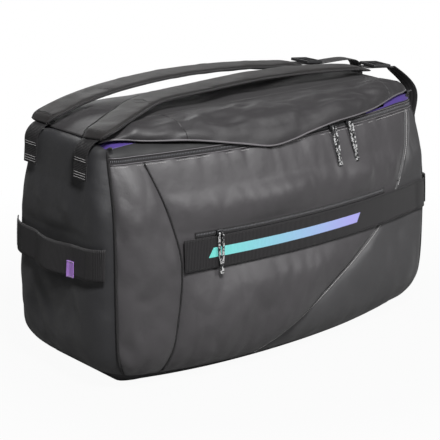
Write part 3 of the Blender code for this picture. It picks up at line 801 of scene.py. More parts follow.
def finish(name):
    """Makes a material of the bag once, by its plain name."""
    found = bpy.data.materials.get(name)
    if found:
        return found
    c = colours()
    makers = {
        "charcoal_cloth": (cloth_finish, c.charcoal),
        # Painted shade: the top and lid use the charcoal cloth darkened, for the top lying in less light.
        "lid_cloth": (cloth_finish, scaled(c.charcoal, 0.55), 0.50, 0.10, None, 0.55),
        "end_cloth": (cloth_finish, c.end_charcoal, 0.55),
        "coated_cloth": (cloth_finish, c.panel_grey, 0.50, 0.05, 0.0016),
        "strap_cloth": (cloth_finish, c.strap, 0.62, 0.12, 0.0009, 0.45),
        # Painted shade: the end cloth darkened to near black for the gusset in the mouth and the inside of the
        # walls.
        "gusset_cloth": (cloth_finish, scaled(c.end_charcoal, 0.35), 0.66),
        "ribbed_webbing": (webbing_finish, c.webbing, "X"),
        "long_ribbed_webbing": (webbing_finish, c.webbing, "Y", 0.0022),
        "tab_webbing": (webbing_finish, scaled(c.webbing, 0.8), "X", 0.0024),
        "zip_tape": (webbing_finish, c.webbing, "X", 0.0016),
        "piping_cord": (webbing_finish, scaled(c.webbing, 0.8), "X", 0.0015),
        "hem_edge": (thread_finish, scaled(c.charcoal, 2.6)),
        "lining_cloth": (lining_finish, c.lining),
        "tag_cloth": (cloth_finish, c.tag, 0.6, 0.1, 0.0007),
        "light_thread": (thread_finish, c.thread),
        "dark_thread": (thread_finish, c.dark_thread),
        "zip_coil": (moulded_finish, scaled(c.metal, 2.4), 0.38),
        "slider_enamel": (moulded_finish, c.metal, 0.32, 0.6),
        "moulded_buckle": (moulded_finish, c.plastic, 0.42),
        "base_sheet": (moulded_finish, scaled(c.plastic, 1.6), 0.6),
        "braided_cord": (cord_finish, scaled(c.plastic, 0.7), c.fleck),
        "striped_webbing": (striped_webbing_finish, c.webbing, c.stripe_start, c.stripe_end,
                            BAND_RIGHT_X - BAND_LEFT_X),
    }
    maker, *values = makers[name]
    return maker(name, *values)


# Wall panels
def end_seam(z):
    """Where the front and end panels meet, drawn in with the body."""
    return half_length(z) - END_SEAM_INSET


def corner_seam(z):
    return smooth_value(CORNER_SEAM, z)


def slant_seam(z):
    return smooth_value(SLANT_SEAM, z)


def base_lift(x):
    """How far the soft base edge lifts off the ground towards the ends."""
    return BASE_LIFT * max(0.0, (abs(x) - LIFT_START_X) / (MID_HALF_LENGTH - LIFT_START_X)) ** 2


def lifted(place):
    """A wall point, raised near the base by the lift of the base edge."""
    near = max(0.0, 1.0 - place.z / BASE_ROUND)
    return Vector((place.x, place.y, place.z + base_lift(place.x) * near ** 2))


def front_form(left, right, low=PANEL_LOW_Z, high=PANEL_TOP_Z):
    """Front wall between two seams, each a function of height."""
    def form(u, v):
        z = low + (high - low) * v
        x = left(z) + (right(z) - left(z)) * u
        return lifted(Vector((x, -wall_y(x, z), z)))
    return form


def back_form(u, v):
    z = PANEL_LOW_Z + (WALL_TOP_Z - PANEL_LOW_Z) * v
    x = end_seam(z) * (1.0 - 2.0 * u)
    return lifted(Vector((x, wall_y(x, z), z)))


def end_form(side):
    """End wall from seam to seam, rolled over the rim at its top."""
    def form(u, v):
        roll = max(0.0, (v - ROLL_START) / (1.0 - ROLL_START))
        z = PANEL_LOW_Z + (WALL_TOP_Z - PANEL_LOW_Z) * min(v / ROLL_START, 1.0)
        reach = wall_y(end_seam(z) - SEAM_ALLOWANCE, z)
        y = reach * (2.0 * u - 1.0) * side
        x = end_x(y, z)
        if roll > 0.0:
            turn = 0.5 * math.pi * roll
            top = RIM_Z + CROWN * end_fall(TOP_END_X) * (1.0 - (abs(y) / reach) ** 4)
            x = TOP_END_X + (x - TOP_END_X) * math.cos(turn)
            z = z + (top - z) * math.sin(turn)
        return lifted(Vector((side * x, y, z)))
    return form


def free_of_band(place):
    """0 where webbing, handles and the pocket zip hold the cloth flat, 1 away from them."""
    if abs(place.x) > end_seam(place.z) + 0.002:
        away = max(0.0, abs(place.z - BAND_Z) - BAND_HALF - 0.010)
        tabs = max(0.0, RIM_Z - 0.060 - place.z)
        return min(1.0, away / 0.040, tabs / 0.040 + 0.06) ** 0.7
    if place.y > -0.06 or place.x < corner_seam(place.z) - 0.001:
        return 1.0
    away = max(0.0, BAND_Z - BAND_HALF - 0.002 - place.z, place.z - POCKET_ZIP_Z - 0.006)
    under_pulls = min(1.0, max(0.22, (PANEL_TOP_Z - place.z - 0.045) / 0.030))
    return min(1.0, away / 0.030) ** 0.7 * under_pulls


def panel_depth(form, seed, scale, puff, pucker=0.0, lap=0.0):
    """Height of a panel over its form: puffed in the middle, drawn in at the seams, creased and gathered."""
    crease = sizes().crease_depth
    seam = sizes().seam_depth

    def depth(u, v):
        place = form(u, v)
        under = max(0.0, 1.0 - min(u, 1.0 - u) / lap) if lap else 0.0
        u = min(1.0, max(0.0, (u - lap) / (1.0 - 2.0 * lap)))
        inside = edge_share(u, v, 0.30, 0.22)
        near = edge_share(u, v, 0.06, 0.05)
        puffed = puff * inside + crease * inside * folds(place, seed, scale)
        tight = Vector((place.x * 1.8, place.y, place.z * 0.8))
        puffed += 0.35 * crease * near * folds(tight, seed + 2, scale * 3)
        value = puffed * free_of_band(place) - seam * (1.0 - near)
        if pucker:
            below = max(0.0, PANEL_TOP_Z - place.z)
            gather = folds(Vector((place.x, 0.0, place.z * 0.10)), seed + 5, 75.0)
            value += pucker * gather * math.exp(-below / 0.030) * min(1.0, u * 8, (1 - u) * 8)
        return max(value, -0.0045) - 0.0030 * under
    return depth


class DUFFEL_OT_walls(bpy.types.Operator):
    """Lay the sewn panels of the walls and base"""

    bl_idname = "duffel.walls"
    bl_label = "Wall panels"

    def execute(self, context):
        pucker = sizes().pucker_depth
        layout = (
            ("front_corner_cloth", 16, front_form(lambda z: -end_seam(z), corner_seam), 1, 12.0, 0.003, 0.0,
             "front_corner_panel", "charcoal_cloth", "charcoal_fabric"),
            ("front_middle_cloth", 92, front_form(corner_seam, slant_seam), 2, 11.0, 0.006, pucker,
             "front_panel", "charcoal_cloth", "charcoal_fabric"),
            ("front_right_cloth", 44, front_form(slant_seam, end_seam), 3, 7.0, 0.003, pucker * 0.5,
             "front_right_panel", "coated_cloth", "smooth_panel"),
            ("back_cloth", 110, back_form, 4, 9.0, 0.006, pucker * 0.4,
             "back_panel", "charcoal_cloth", "charcoal_fabric"),
        )
        for name, columns, form, seed, scale, puff, gather, node, look, slot in layout:
            obj, size = laid_grid(name, columns, 58, form, panel_depth(form, seed, scale, puff, gather))
            billow(obj, slack=0.004, push=0.000006, cap=0.005)
            finish_cloth(obj, look, node, slot, inside="gusset_cloth")
        for label, side, seed in (("left", -1, 6), ("right", 1, 7)):
            form = end_form(side)
            depth = panel_depth(form, seed, scale=11.0, puff=0.005, lap=END_LAP)
            obj, size = laid_grid(f"{label}_end_cloth", 46, 64, form, depth)
            billow(obj, slack=0.004, push=0.000004, cap=0.004)
            finish_cloth(obj, "end_cloth", f"{label}_end_panel", "end_fabric", inside="gusset_cloth")
        self.base()
        return {"FINISHED"}

    def base(self):
        def form(u, v):
            length = half_length(PANEL_LOW_Z) - BASE_INSET
            x = length * math.sin(math.pi * (u - 0.5)) * 0.5 + length * (u - 0.5)
            reach = wall_y(x, PANEL_LOW_Z) - BASE_INSET
            y = reach * (2.0 * v - 1.0)
            gap = min(reach - abs(y), length - abs(x))
            rise = max(0.0, 1.0 - gap / 0.022)
            edge = max(0.0, 1.0 - gap / 0.070)
            lift = base_lift(x) * (1.0 - PANEL_LOW_Z / BASE_ROUND) ** 2
            return Vector((x, -y, (PANEL_LOW_Z + BASE_INSET) * rise ** 2 + lift * edge ** 2))

        obj, size = laid_grid("base_cloth", 80, 44, form)
        finish_cloth(obj, "end_cloth", "base_panel", "end_fabric", 0.0015)


# Top and lid
def top_form(u, v):
    """Crowned top from the lid's fold to the back rim."""
    x = TOP_END_X * (2.0 * u - 1.0)
    wall = wall_y(x, LIP_WALL_Z)
    flat = 0.52
    if v <= flat:
        y = -FOLD_Y + 2.0 * FOLD_Y * v / flat
        return Vector((x, y, fold_height(x)))
    t = (v - flat) / (1.0 - flat)
    start = Vector((x, FOLD_Y, fold_height(x)))
    turn = Vector((x, wall + 0.004, fold_height(x)))
    lip = Vector((x, wall + 0.001, 0.3605))
    return bent(start, turn, lip, t)


def lip_place(x):
    """Where the lid's lip runs at x."""
    stand = smooth_value(LIP_STAND, x)
    return Vector((x, -(wall_y(x, LIP_WALL_Z) + stand), smooth_value(LIP_HEIGHT, x)))


def lid_form(left, right):
    """Lid from its lip up and back to its fold, between two places along the bag."""
    def form(u, v):
        x = left + (right - left) * u
        lip = lip_place(x)
        fold = Vector((x, -FOLD_Y, fold_height(x)))
        turn = Vector((x, lip.y - 0.003, max(fold.z, lip.z + 0.002)))
        return bent(fold, turn, lip, 1.0 - v)
    return form


LID_PARTS = (
    ("lid_left_cloth", -TOP_END_X, FLAP_LEFT_X + 0.008, 24, "left"),
    ("lid_flap_cloth", FLAP_LEFT_X, FLAP_RIGHT_X, 80, "flap"),
    ("lid_right_cloth", FLAP_RIGHT_X - 0.008, TOP_END_X, 18, "right"),
)


def flap_gap(x):
    """How far x lies outside the flap."""
    return max(0.0, FLAP_LEFT_X - x, x - FLAP_RIGHT_X)


def join_lid(obj, part):
    """Flap pieces ride on the lid; the pieces beside it keep their place, their transform baked in."""
    if part == "flap":
        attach(obj, "lid")
        return
    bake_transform(obj)


class DUFFEL_OT_top(bpy.types.Operator):
    """Lay the top, the lid and its lip, and the gussets below it"""

    bl_idname = "duffel.top"
    bl_label = "Top and lid"

    def execute(self, context):
        crease = sizes().crease_depth

        def top_depth(u, v):
            place = top_form(u, v)
            return crease * 0.6 * edge_share(u, v, 0.2, 0.25) * folds(place, 8, 10.0)

        obj, size = laid_grid("top_cloth", 110, 52, top_form, top_depth)
        finish_cloth(obj, "lid_cloth", "top_panel", "charcoal_fabric", inside="lining_cloth")
        for name, left, right, columns, part in LID_PARTS:
            form = lid_form(left, right)

            def lid_depth(u, v, form=form, part=part):
                place = form(u, v)
                inside = math.sin(math.pi * min(1.0, v * 1.02)) ** 0.7
                ends = min(1.0, (TOP_END_X - abs(place.x)) / 0.03)
                soft = folds(Vector((place.x, place.y, 0.0)), 9, 9.0) + 0.5 * folds(place, 11, 26.0)
                soft += 0.35 * folds(Vector((place.x * 0.5, place.y * 1.6, 0.0)), 12, 60.0)
                under = 0.0 if part == "flap" else 0.0003 * max(0.0, 1.0 - flap_gap(place.x) / 0.012)
                return crease * 0.9 * inside * ends * soft - under

            obj, size = laid_grid(name, columns, 30, form, lid_depth)
            paint(obj, "lid_cloth", "lining_cloth")
            subdivide(obj)
            thicken(obj, sizes().cloth_thick, True)
            join_lid(obj, part)
            if part == "flap":
                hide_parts("lid_flap")
            self.hem(name.replace("cloth", "hem"), left, right, part)
        self.gusset()
        return {"FINISHED"}

    def hem(self, name, left, right, part):
        """Rolled edge along the lip."""
        steps = max(12, int((right - left) / 0.006))
        drop = Vector((0.0, 0.0006, -0.0004))
        points = [lip_place(x) + drop for x in spaced(left, right, steps + 1)]
        obj = tube(name, points, sizes().hem_radius)
        paint(obj, "hem_edge")
        join_lid(obj, part)

    def gusset(self):
        """Dark gusset above the zip at each end of the mouth, darkened further with painted shade, and the
        lining that shows over it.
        """
        dark = ("gusset", "gusset_cloth", "charcoal_fabric")
        light = ("facing", "lining_cloth", "lining")
        edge = TOP_END_X - 0.002
        layout = (
            ("left", dark, -edge, GUSSET_END_X, 0.0, self.left_share),
            ("left", light, -edge, FACING_END_X, self.left_share, 1.0),
            ("right", dark, RIGHT_MOUTH_X, edge, 0.0, self.right_share),
            ("right", light, RIGHT_MOUTH_X, edge, self.right_share, self.right_top),
        )
        for label, (name, look, slot), left, right, start, end in layout:
            def form(u, v, left=left, right=right, start=start, end=end):
                x = left + (right - left) * u
                low_share = start(x) if callable(start) else start
                high_share = end(x) if callable(end) else end
                v = low_share + (high_share - low_share) * v
                wall = wall_y(x, WALL_TOP_Z)
                low = Vector((x, -wall + 0.0015, 0.3625))
                turn = Vector((x, -wall + 0.003, RIM_Z - 0.001))
                high = Vector((x, -FOLD_Y - 0.006, fold_height(x) - 0.009))
                return bent(low, turn, high, v)

            def wave(u, v, form=form):
                return 0.0012 * folds(form(u, v), 13, 30.0) * edge_share(u, v, 0.2, 0.4)

            obj, size = laid_grid(f"{label}_{name}_cloth", 40, 12, form, wave)
            size = (size[0], mesh_area(obj) / size[0])
            finish_cloth(obj, look, None, slot, 0.001)

    def left_share(self, x):
        """How far up the left gusset is dark; it runs out low along the mouth."""
        if x < FACING_END_X:
            return 1.0 - 0.42 * min(1.0, (FACING_END_X - x) / 0.014)
        near = min(1.0, max(0.0, (FLAP_LEFT_X + 0.066 - x) / 0.074))
        return 0.10 + 0.90 * near ** 2 * (3.0 - 2.0 * near)

    def right_share(self, x):
        return 0.05 + 0.08 * min(1.0, max(0.0, (x - 0.20) / 0.06))

    def right_top(self, x):
        """The right lining stands low in the mouth and full height beside it."""
        return 0.16 + 0.84 * min(1.0, max(0.0, (x - FLAP_RIGHT_X + 0.012) / 0.020))


# Lining
class DUFFEL_OT_lining(bpy.types.Operator):
    """Lay the lining, the pocket pouch and the base sheet inside the bag"""

    bl_idname = "duffel.lining"
    bl_label = "Lining"

    def execute(self, context):
        def form(u, v):
            z = LINING_LOW_Z + (LINING_TOP_Z - LINING_LOW_Z) * v
            turn = 4.0 * (u % 1.0)
            side = int(turn)
            share = turn - side
            length = half_length(z)
            if side in (0, 2):
                x = (2.0 * share - 1.0) * length
                y = -wall_y(x, z)
            else:
                x = length
                y = (2.0 * share - 1.0) * corner_start(z)
            flip = -1.0 if side >= 2 else 1.0
            narrow = 1.0 - LINING_INSET / length
            shallow = 1.0 - LINING_INSET / (corner_start(z) + CORNER_RADIUS)
            return Vector((flip * x * narrow, flip * y * shallow, z))

        def depth(u, v):
            return -0.0022 * (0.6 + folds(form(u, v), 15, 14.0)) * min(1.0, v * 6, (1 - v) * 6)

        obj, size = laid_grid("lining_cloth_inside", 176, 40, form, depth, wrap=True)
        subdivide(obj)
        mount(obj, "lining_cloth", "lining", "lining")

        def pouch(u, v):
            z = 0.070 + (POCKET_ZIP_Z - 0.077) * v
            x = POCKET_ZIP_REACH * (2.0 * u - 1.0)
            return Vector((x, -wall_y(x, z) + 0.0115, z))

        def slack(u, v):
            return -0.003 * (0.5 + folds(pouch(u, v), 17, 12.0)) * edge_share(u, v, 0.2, 0.2)

        obj, size = laid_grid("pocket_pouch_cloth", 60, 24, pouch, slack)
        finish_cloth(obj, "lining_cloth", "pocket_pouch", "lining", 0.0008)
        self.board()
        return {"FINISHED"}

    def board(self):
        """Stiff sheet on the base, kept clear of the lifted edges."""
        low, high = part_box("base_board")
        length = half_length(PANEL_LOW_Z) - 0.050

        def form(u, v):
            x = length * (2.0 * u - 1.0)
            reach = wall_y(x, PANEL_LOW_Z) - 0.030
            return Vector((x, reach * (2.0 * v - 1.0), high.z))

        obj, _ = laid_grid("base_sheet", 40, 16, form)
        thicken(obj, high.z - low.z)
        mount(obj, "base_sheet", "base_stiffener", "base_board")


# Piping, webbing and handles
def wall_line(places, lift):
    """Points on the front wall at pairs of x and z, standing off by lift."""
    step = 0.002
    made = []
    for x, z in places:
        here = Vector((x, -wall_y(x, z), z))
        along = Vector((x + step, -wall_y(x + step, z), z)) - here
        up = Vector((x, -wall_y(x, z + step), z + step)) - here
        made.append(lifted(here + along.cross(up).normalized() * lift))
    return made


class DUFFEL_OT_piping(bpy.types.Operator):
    """Lay the corded piping on the end seams and sew the seams"""

    bl_idname = "duffel.piping"
    bl_label = "Piping and seams"

    def execute(self, context):
        levels = spaced(0.020, 0.372, 70)
        for label, side in (("left", -1), ("right", 1)):
            points = []
            for z in levels:
                past = end_seam(z) - (half_length(z) - CORNER_RADIUS)
                turn = math.asin(past / CORNER_RADIUS)
                stand = -0.0014 * Vector((math.sin(turn), -math.cos(turn)))
                x = end_seam(z)
                points.append(lifted(Vector((side * (x + stand.x), -wall_y(x, z) + stand.y, z))))
            mount(tube(f"{label}_piping_cord", points, 0.0021), "piping_cord", "webbing", f"{label}_piping")
            points = [Vector((p.x, -p.y, p.z)) for p in points]
            mount(tube(f"{label}_back_piping_cord", points, 0.0019), "piping_cord", "webbing")
        rows = []
        for low, high in ((SEAM_LOW_Z, BAND_Z - 0.028), (BAND_Z + 0.028, 0.351)):
            rows.append(wall_line([(slant_seam(z) + 0.0035, z) for z in spaced(low, high, 60)], -0.0002))
        stitches("slant_seam_stitches", rows, "light_thread", "smooth_panel", thick=1.7)
        corner = wall_line([(corner_seam(z) - 0.003, z) for z in spaced(SEAM_LOW_Z, 0.352, 110)], -0.0011)
        stitches("corner_seam_stitches", [corner], "dark_thread", "charcoal_fabric")
        gather = wall_line([(x, 0.3500) for x in spaced(-0.308, 0.308, 160)], -0.0007)
        stitches("zip_seam_stitches", [gather], "light_thread", "charcoal_fabric")
        for label, seam in (("slant", slant_seam), ("corner", corner_seam)):
            self.backing(label, seam)
        welt = wall_line([(corner_seam(z), z) for z in levels if z < 0.353], -0.0010)
        mount(tube("corner_seam_welt", welt, 0.0014), "piping_cord", "charcoal_fabric")
        for name, low, high in (("low", SEAM_LOW_Z, BAND_Z - 0.027), ("high", POCKET_ZIP_Z + 0.006, 0.352)):
            line = wall_line([(slant_seam(z), z) for z in spaced(low, high, 60)], -0.0016)
            mount(tube(f"slant_seam_{name}_welt", line, 0.0016), "coated_cloth", "smooth_panel")
        return {"FINISHED"}

    def backing(self, label, seam):
        """Tape sewn behind a seam, inside the bag."""
        def form(u, v):
            z = SEAM_LOW_Z + (LINING_TOP_Z - SEAM_LOW_Z) * v
            x = seam(z) + 0.026 * (u - 0.5)
            return lifted(Vector((x, -wall_y(x, z) + 0.0080, z)))

        obj, size = laid_grid(f"{label}_seam_tape", 4, 50, form)
        size = (mesh_area(obj) / size[1], size[1])
        finish_cloth(obj, "zip_tape", None, "webbing", 0.0006)


def wall_band(name, span, middle, half, lift, thick, look, node, columns):
    """Flat band of webbing or tape laid along the front wall."""
    left, right = span

    def form(u, v):
        x = left + (right - left) * u
        z = middle - half + 2.0 * half * v
        return Vector((x, -(wall_y(x, z) + lift + thick), z))

    obj, _ = laid_grid(name, columns, 10, form)
    thicken(obj, thick)
    soft = obj.modifiers.new("edge", "BEVEL")
    soft.width = thick * 0.3
    soft.segments = 2
    soft.limit_method = "ANGLE"
    mount(obj, look, "webbing", node)


class DUFFEL_OT_webbing(bpy.types.Operator):
    """Lay the front webbing, the end handles and the tag"""

    bl_idname = "duffel.webbing"
    bl_label = "Webbing and handles"

    def execute(self, context):
        left, right = BAND_LEFT_X, BAND_RIGHT_X
        wall_band("front_band", (left, right), BAND_Z, BAND_HALF, lift=0.0036, thick=sizes().web_thick,
                  look="striped_webbing", node="front_webbing", columns=110)
        rows = []
        for z in (BAND_Z - BAND_HALF + 0.003, BAND_Z + BAND_HALF - 0.003):
            rows.append(wall_line([(x, z) for x in spaced(left + 0.004, right - 0.004, 150)], 0.0053))
        stitches("front_band_stitches", rows, "dark_thread", "webbing")
        for label, side in (("left", -1), ("right", 1)):
            self.handle(label, side)
        self.tag()
        return {"FINISHED"}

    def bow(self, y):
        """How far the handle bows off the end wall at y."""
        share = (y + HANDLE_HALF) / (2.0 * HANDLE_HALF)
        free = (share - 0.14) / 0.72
        if free <= 0.0 or free >= 1.0:
            return 0.0
        return HANDLE_BOW * math.sin(math.pi * free) ** 2

    def handle_place(self, side, y, z, lift):
        sag = 0.012 * (1.0 - (y / HANDLE_HALF) ** 2)
        out = end_x(y, z) + max(self.bow(y), 0.006) + lift
        lean = 0.10 * (z - BAND_Z) * self.bow(y) / HANDLE_BOW
        return Vector((side * (out - lean), y, z - sag * 0.5))

    def handle(self, label, side):
        thick = sizes().web_thick

        def form(u, v):
            y = HANDLE_HALF * (2.0 * u - 1.0) * side
            z = BAND_Z + BAND_HALF * (2.0 * v - 1.0)
            return self.handle_place(side, y, z, thick)

        obj, _ = laid_grid(f"{label}_handle_webbing", 70, 10, form)
        thicken(obj, thick)
        mount(obj, "ribbed_webbing", "webbing", f"{label}_end_handle")
        levels = spaced(BAND_Z - 0.022, BAND_Z + 0.022, 24)
        rows = []
        for y in (-0.113, -0.103, -0.088, 0.088, 0.103, 0.113):
            rows.append([self.handle_place(side, y, z, thick + 0.0004) for z in levels])
        stitches(f"{label}_handle_stitches", rows, "dark_thread", "webbing", 0.0022)

    def tag(self):
        def form(u, v):
            y = TAG_Y + TAG_WIDTH * (0.5 - u)
            z = BAND_Z - BAND_HALF - 0.001 + TAG_HEIGHT * v
            return self.handle_place(-1, y, z, sizes().web_thick + 0.0016)

        obj, size = laid_grid("handle_tag_cloth", 10, 14, form)
        finish_cloth(obj, "tag_cloth", "handle_tag", "tag", 0.0008)
        border = []
        for v in (0.06, 0.94):
            border.append([form(u, v) + Vector((-0.0002, 0, 0)) for u in spaced(0.08, 0.92, 8)])
        stitches("handle_tag_stitches", border, "light_thread", "tag", 0.0018)


# Zips and pulls
class DUFFEL_OT_zips(bpy.types.Operator):
    """Lay the zips, their coils, sliders and cord pulls"""

    bl_idname = "duffel.zips"
    bl_label = "Zips and pulls"

    def execute(self, context):
        wall_band("main_zip_cloth", (-0.314, 0.314), middle=0.35825, half=0.00575, lift=-0.0026, thick=0.0012,
                  look="zip_tape", node="main_zip_tape", columns=130)
        self.coil("main_zip_coil", ZIP_COIL_REACH, ZIP_Z, -0.0009)
        for label, z in (("low", 0.3540), ("high", 0.3632)):
            line = wall_line([(x, z) for x in spaced(-0.313, 0.313, 130)], -0.0007)
            mount(tube(f"main_zip_{label}_edge", line, 0.0007), "hem_edge", "webbing")
        reach = POCKET_ZIP_REACH
        wall_band("pocket_zip_cloth", (-reach, reach), POCKET_ZIP_Z, half=0.0042, lift=0.0002, thick=0.0012,
                  look="zip_tape", node="pocket_zip_tape", columns=90)
        self.coil("pocket_zip_coil", reach - 0.003, POCKET_ZIP_Z, 0.0013)
        for node in ("main_slider_left", "main_slider_right", "pocket_slider"):
            dress(node, "slider_enamel")
        for joint in frame["joints"]:
            if joint["child"].endswith("_pull") or "_pull_" in joint["child"]:
                self.pull(joint)
        return {"FINISHED"}

    def coil(self, name, reach, z, lift):
        """Zip coil: a row of small loops standing across the tape."""
        count = int(2.0 * reach / COIL_PITCH)
        line = wall_line([(x, z) for x in spaced(-reach, reach, count + 1)], lift)
        upright = Vector((0, 0, 1))
        bm = bmesh.new()
        for a, b in zip(line, line[1:]):
            ahead = (b - a).normalized()
            turn = Matrix((ahead, upright.cross(ahead), upright)).transposed().to_4x4()
            shape = Matrix.Translation(a) @ turn @ Matrix.Diagonal((COIL_PITCH * 0.33, 0.0008, 0.0022, 1.0))
            bmesh.ops.create_icosphere(bm, subdivisions=1, radius=1.0, matrix=shape)
        mount(new_object(name, smooth_mesh(bm, name)), "zip_coil", "webbing")

    def pull(self, joint):
        """Braided cord loop through the slider's eye with a moulded tip."""
        name = joint["child"]
        low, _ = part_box(name)
        hinge = Vector(joint["pos_m"])
        across = -Vector(joint["axis"])
        across.normalize()
        far_y = low.y + (0.003 if name == "pocket_pull" else 0.004)
        down = Vector((0.0, far_y - hinge.y, low.z - hinge.z))
        down = (down - across * down.dot(across)).normalized()
        length = (hinge.z - low.z) / -down.z
        tip = 0.016
        half = 0.0034
        cord = length - tip * 0.75
        points = []
        for i in range(13):
            turn = math.pi * i / 12
            points.append(hinge + across * half * math.cos(turn) + down * half * (1.0 - math.sin(turn)))
        legs = ((0.25, 1.05), (0.5, 1.0), (0.75, 0.8), (1.0, 0.45))
        for share, wide in legs:
            points.append(hinge - across * half * wide + down * cord * share)
        for share, wide in reversed(legs):
            points.append(hinge + across * half * wide + down * cord * share)
        mount(tube(f"{name}_cord", points, 0.0020, closed=True), "braided_cord", "pull_cord", name, name)
        bm = bmesh.new()
        bmesh.ops.create_cube(bm, size=1.0)
        bmesh.ops.scale(bm, verts=bm.verts, vec=(0.0075, 0.0042, tip))
        upper = [v for v in bm.verts if v.co.z > 0]
        bmesh.ops.scale(bm, verts=upper, vec=(0.72, 0.85, 1.0))
        bmesh.ops.bevel(bm, geom=bm.edges[:], offset=0.0013, segments=3, profile=0.5, affect="EDGES",
                        material=-1)
        turn = Matrix((across, down.cross(across), -down)).transposed().to_4x4()
        middle = hinge + down * (length - tip / 2)
        bmesh.ops.transform(bm, verts=bm.verts, matrix=Matrix.Translation(middle) @ turn)
        bmesh.ops.recalc_face_normals(bm, faces=bm.faces)
        obj = new_object(f"{name}_tip", smooth_mesh(bm, f"{name}_tip"))
        mount(obj, "braided_cord", "pull_cord", body=name)


# Straps
class DUFFEL_OT_straps(bpy.types.Operator):
    """Lay the padded straps, their tabs, webbing, anchors and buckles"""

    bl_idname = "duffel.straps"
    bl_label = "Shoulder straps"

    def execute(self, context):
        self.strap("front", FRONT_STRAP, -1)
        self.strap("rear", REAR_STRAP, 1)
        return {"FINISHED"}

    def strap(self, label, points, sign):
        path = smooth_path(points, STRAP_STEPS)
        frames = path_frames(path, (0, 1, 0))

        def grow(u):
            ends = min(1.0, u / 0.10, (1.0 - u) / 0.06)
            wide = 1.0 - 0.30 * max(0.0, 1.0 - u / 0.16) ** 2 - 0.34 * max(0.0, 1.0 - (1.0 - u) / 0.12)
            return wide, 0.35 + 0.65 * math.sin(0.5 * math.pi * ends)

        def on_pad(i, share, lift):
            _, across, normal = frames[i]
            wide, high = grow(i / STRAP_STEPS)
            return path[i] + across * STRAP_WIDTH * share * wide + normal * STRAP_THICK * lift * high

        section = padded_section(STRAP_WIDTH, STRAP_THICK)
        pad = ribbon(f"{label}_strap_padding", path, (0, 1, 0), section, 32, grow)
        for vert in pad.data.vertices:
            sag = folds(vert.co.copy(), 20 + sign, 22.0) + 0.6 * folds(vert.co.copy(), 23 + sign, 55.0)
            vert.co.z += 0.0016 * sag
        subdivide(pad)
        mount(pad, "strap_cloth", "strap_padding", f"{label}_strap_pad")
        rows = [[on_pad(i, share, 0.80) for i in range(6, 115)] for share in (-0.43, 0.43)]
        for start, slant in ((10, 7), (13, -7), (44, 8), (48, -8)):
            rows.append([on_pad(start + round(slant * abs(share)), share, 0.99 - 0.5 * share * share)
                         for share in spaced(-0.40, 0.40, 16)])
        for edge, share in (("near", -0.49), ("far", 0.49)):
            line = [on_pad(i, share, 0.5) for i in range(2, 119)]
            mount(tube(f"{label}_strap_{edge}_binding", line, 0.0019), "zip_tape", "strap_padding")
        stitches(f"{label}_strap_stitches", rows, "dark_thread", "strap_padding")
        self.tab(label, points, sign)
        self.webbing(label, points, path, sign)
        dress(f"{label}_buckle", "moulded_buckle")

    def tab(self, label, points, sign):
        """Ribbed tab from the end wall over the rim to the strap, sewn with bars."""
        y = sign * TAB_Y
        low = RIM_Z - TAB_DROP
        wall = [(-(half_length(z) + 0.006), y, z) for z in (low, low + 0.022, RIM_Z - 0.003)]
        start = Vector(points[0])
        over = [(-RIM_HALF_LENGTH + 0.006, y, RIM_Z + 0.0105), (-0.306, y, start.z + 0.0015)]
        path = smooth_path(wall + over, 48)
        section = flat_section(TAB_WIDTH, sizes().web_thick)
        obj = ribbon(f"{label}_tab_webbing", path, (0, 1, 0), section, 20)
        mount(obj, "tab_webbing", "webbing", f"{label}_strap_tab")
        frames = path_frames(path, (0, 1, 0))
        rows = []
        for i in (2, 4, 6, 16, 18, 40, 43):
            _, across, normal = frames[i]
            top = path[i] + normal * (sizes().web_thick + 0.0002)
            rows.append([top + across * w for w in spaced(-0.0145, 0.0145, 14)])
        stitches(f"{label}_tab_bars", rows, "light_thread", "webbing", 0.0019)

    def webbing(self, label, points, path, sign):
        """Strap webbing from the pad's end through the buckle to its anchor on the right end."""
        end = Vector(points[-1])
        ahead = (path[-1] - path[-2]).normalized()
        start = end + Vector((0.0, 0.0, STRAP_THICK / 2)) - ahead * 0.006
        straight = start + ahead * 0.045
        side = sign * TAB_Y
        drop = Vector((RIM_HALF_LENGTH + 0.014, side, RIM_Z - 0.004))
        low = RIM_Z - TAB_DROP
        foot = Vector((end_x(side, low) + 0.0050, side, low - 0.010))
        over_z = max(end.z - 0.004, RIM_Z + 0.015)
        over = Vector((RIM_HALF_LENGTH - 0.004, end.y + (side - end.y) / 4, over_z))
        line = smooth_path([tuple(p) for p in (start, straight, over, drop, foot)], 90)
        section = flat_section(WEB_WIDTH, sizes().web_thick)
        obj = ribbon(f"{label}_strap_web", line, (0, 1, 0), section, 20)
        mount(obj, "long_ribbed_webbing", "webbing", f"{label}_strap_webbing")
        patch = low - 0.0006

        def form(u, v):
            y = side + PATCH_SIDE * (u - 0.5)
            z = patch - PATCH_DROP + PATCH_SIDE * v
            return Vector((end_x(y, z) + 0.0085, y, z))

        obj, size = laid_grid(f"{label}_anchor_patch", 14, 14, form)
        finish_cloth(obj, "tab_webbing", f"{label}_strap_anchor", "webbing", 0.003)
        proud = Vector((0.0003, 0, 0))
        shares = spaced(0.08, 0.92, 20)
        box = [[form(u, v) + proud for u in shares] for v in (0.08, 0.92)]
        box += [[form(u, v) + proud for v in shares] for u in (0.08, 0.92)]
        stitches(f"{label}_anchor_stitches", box, "light_thread", "webbing", 0.0022)


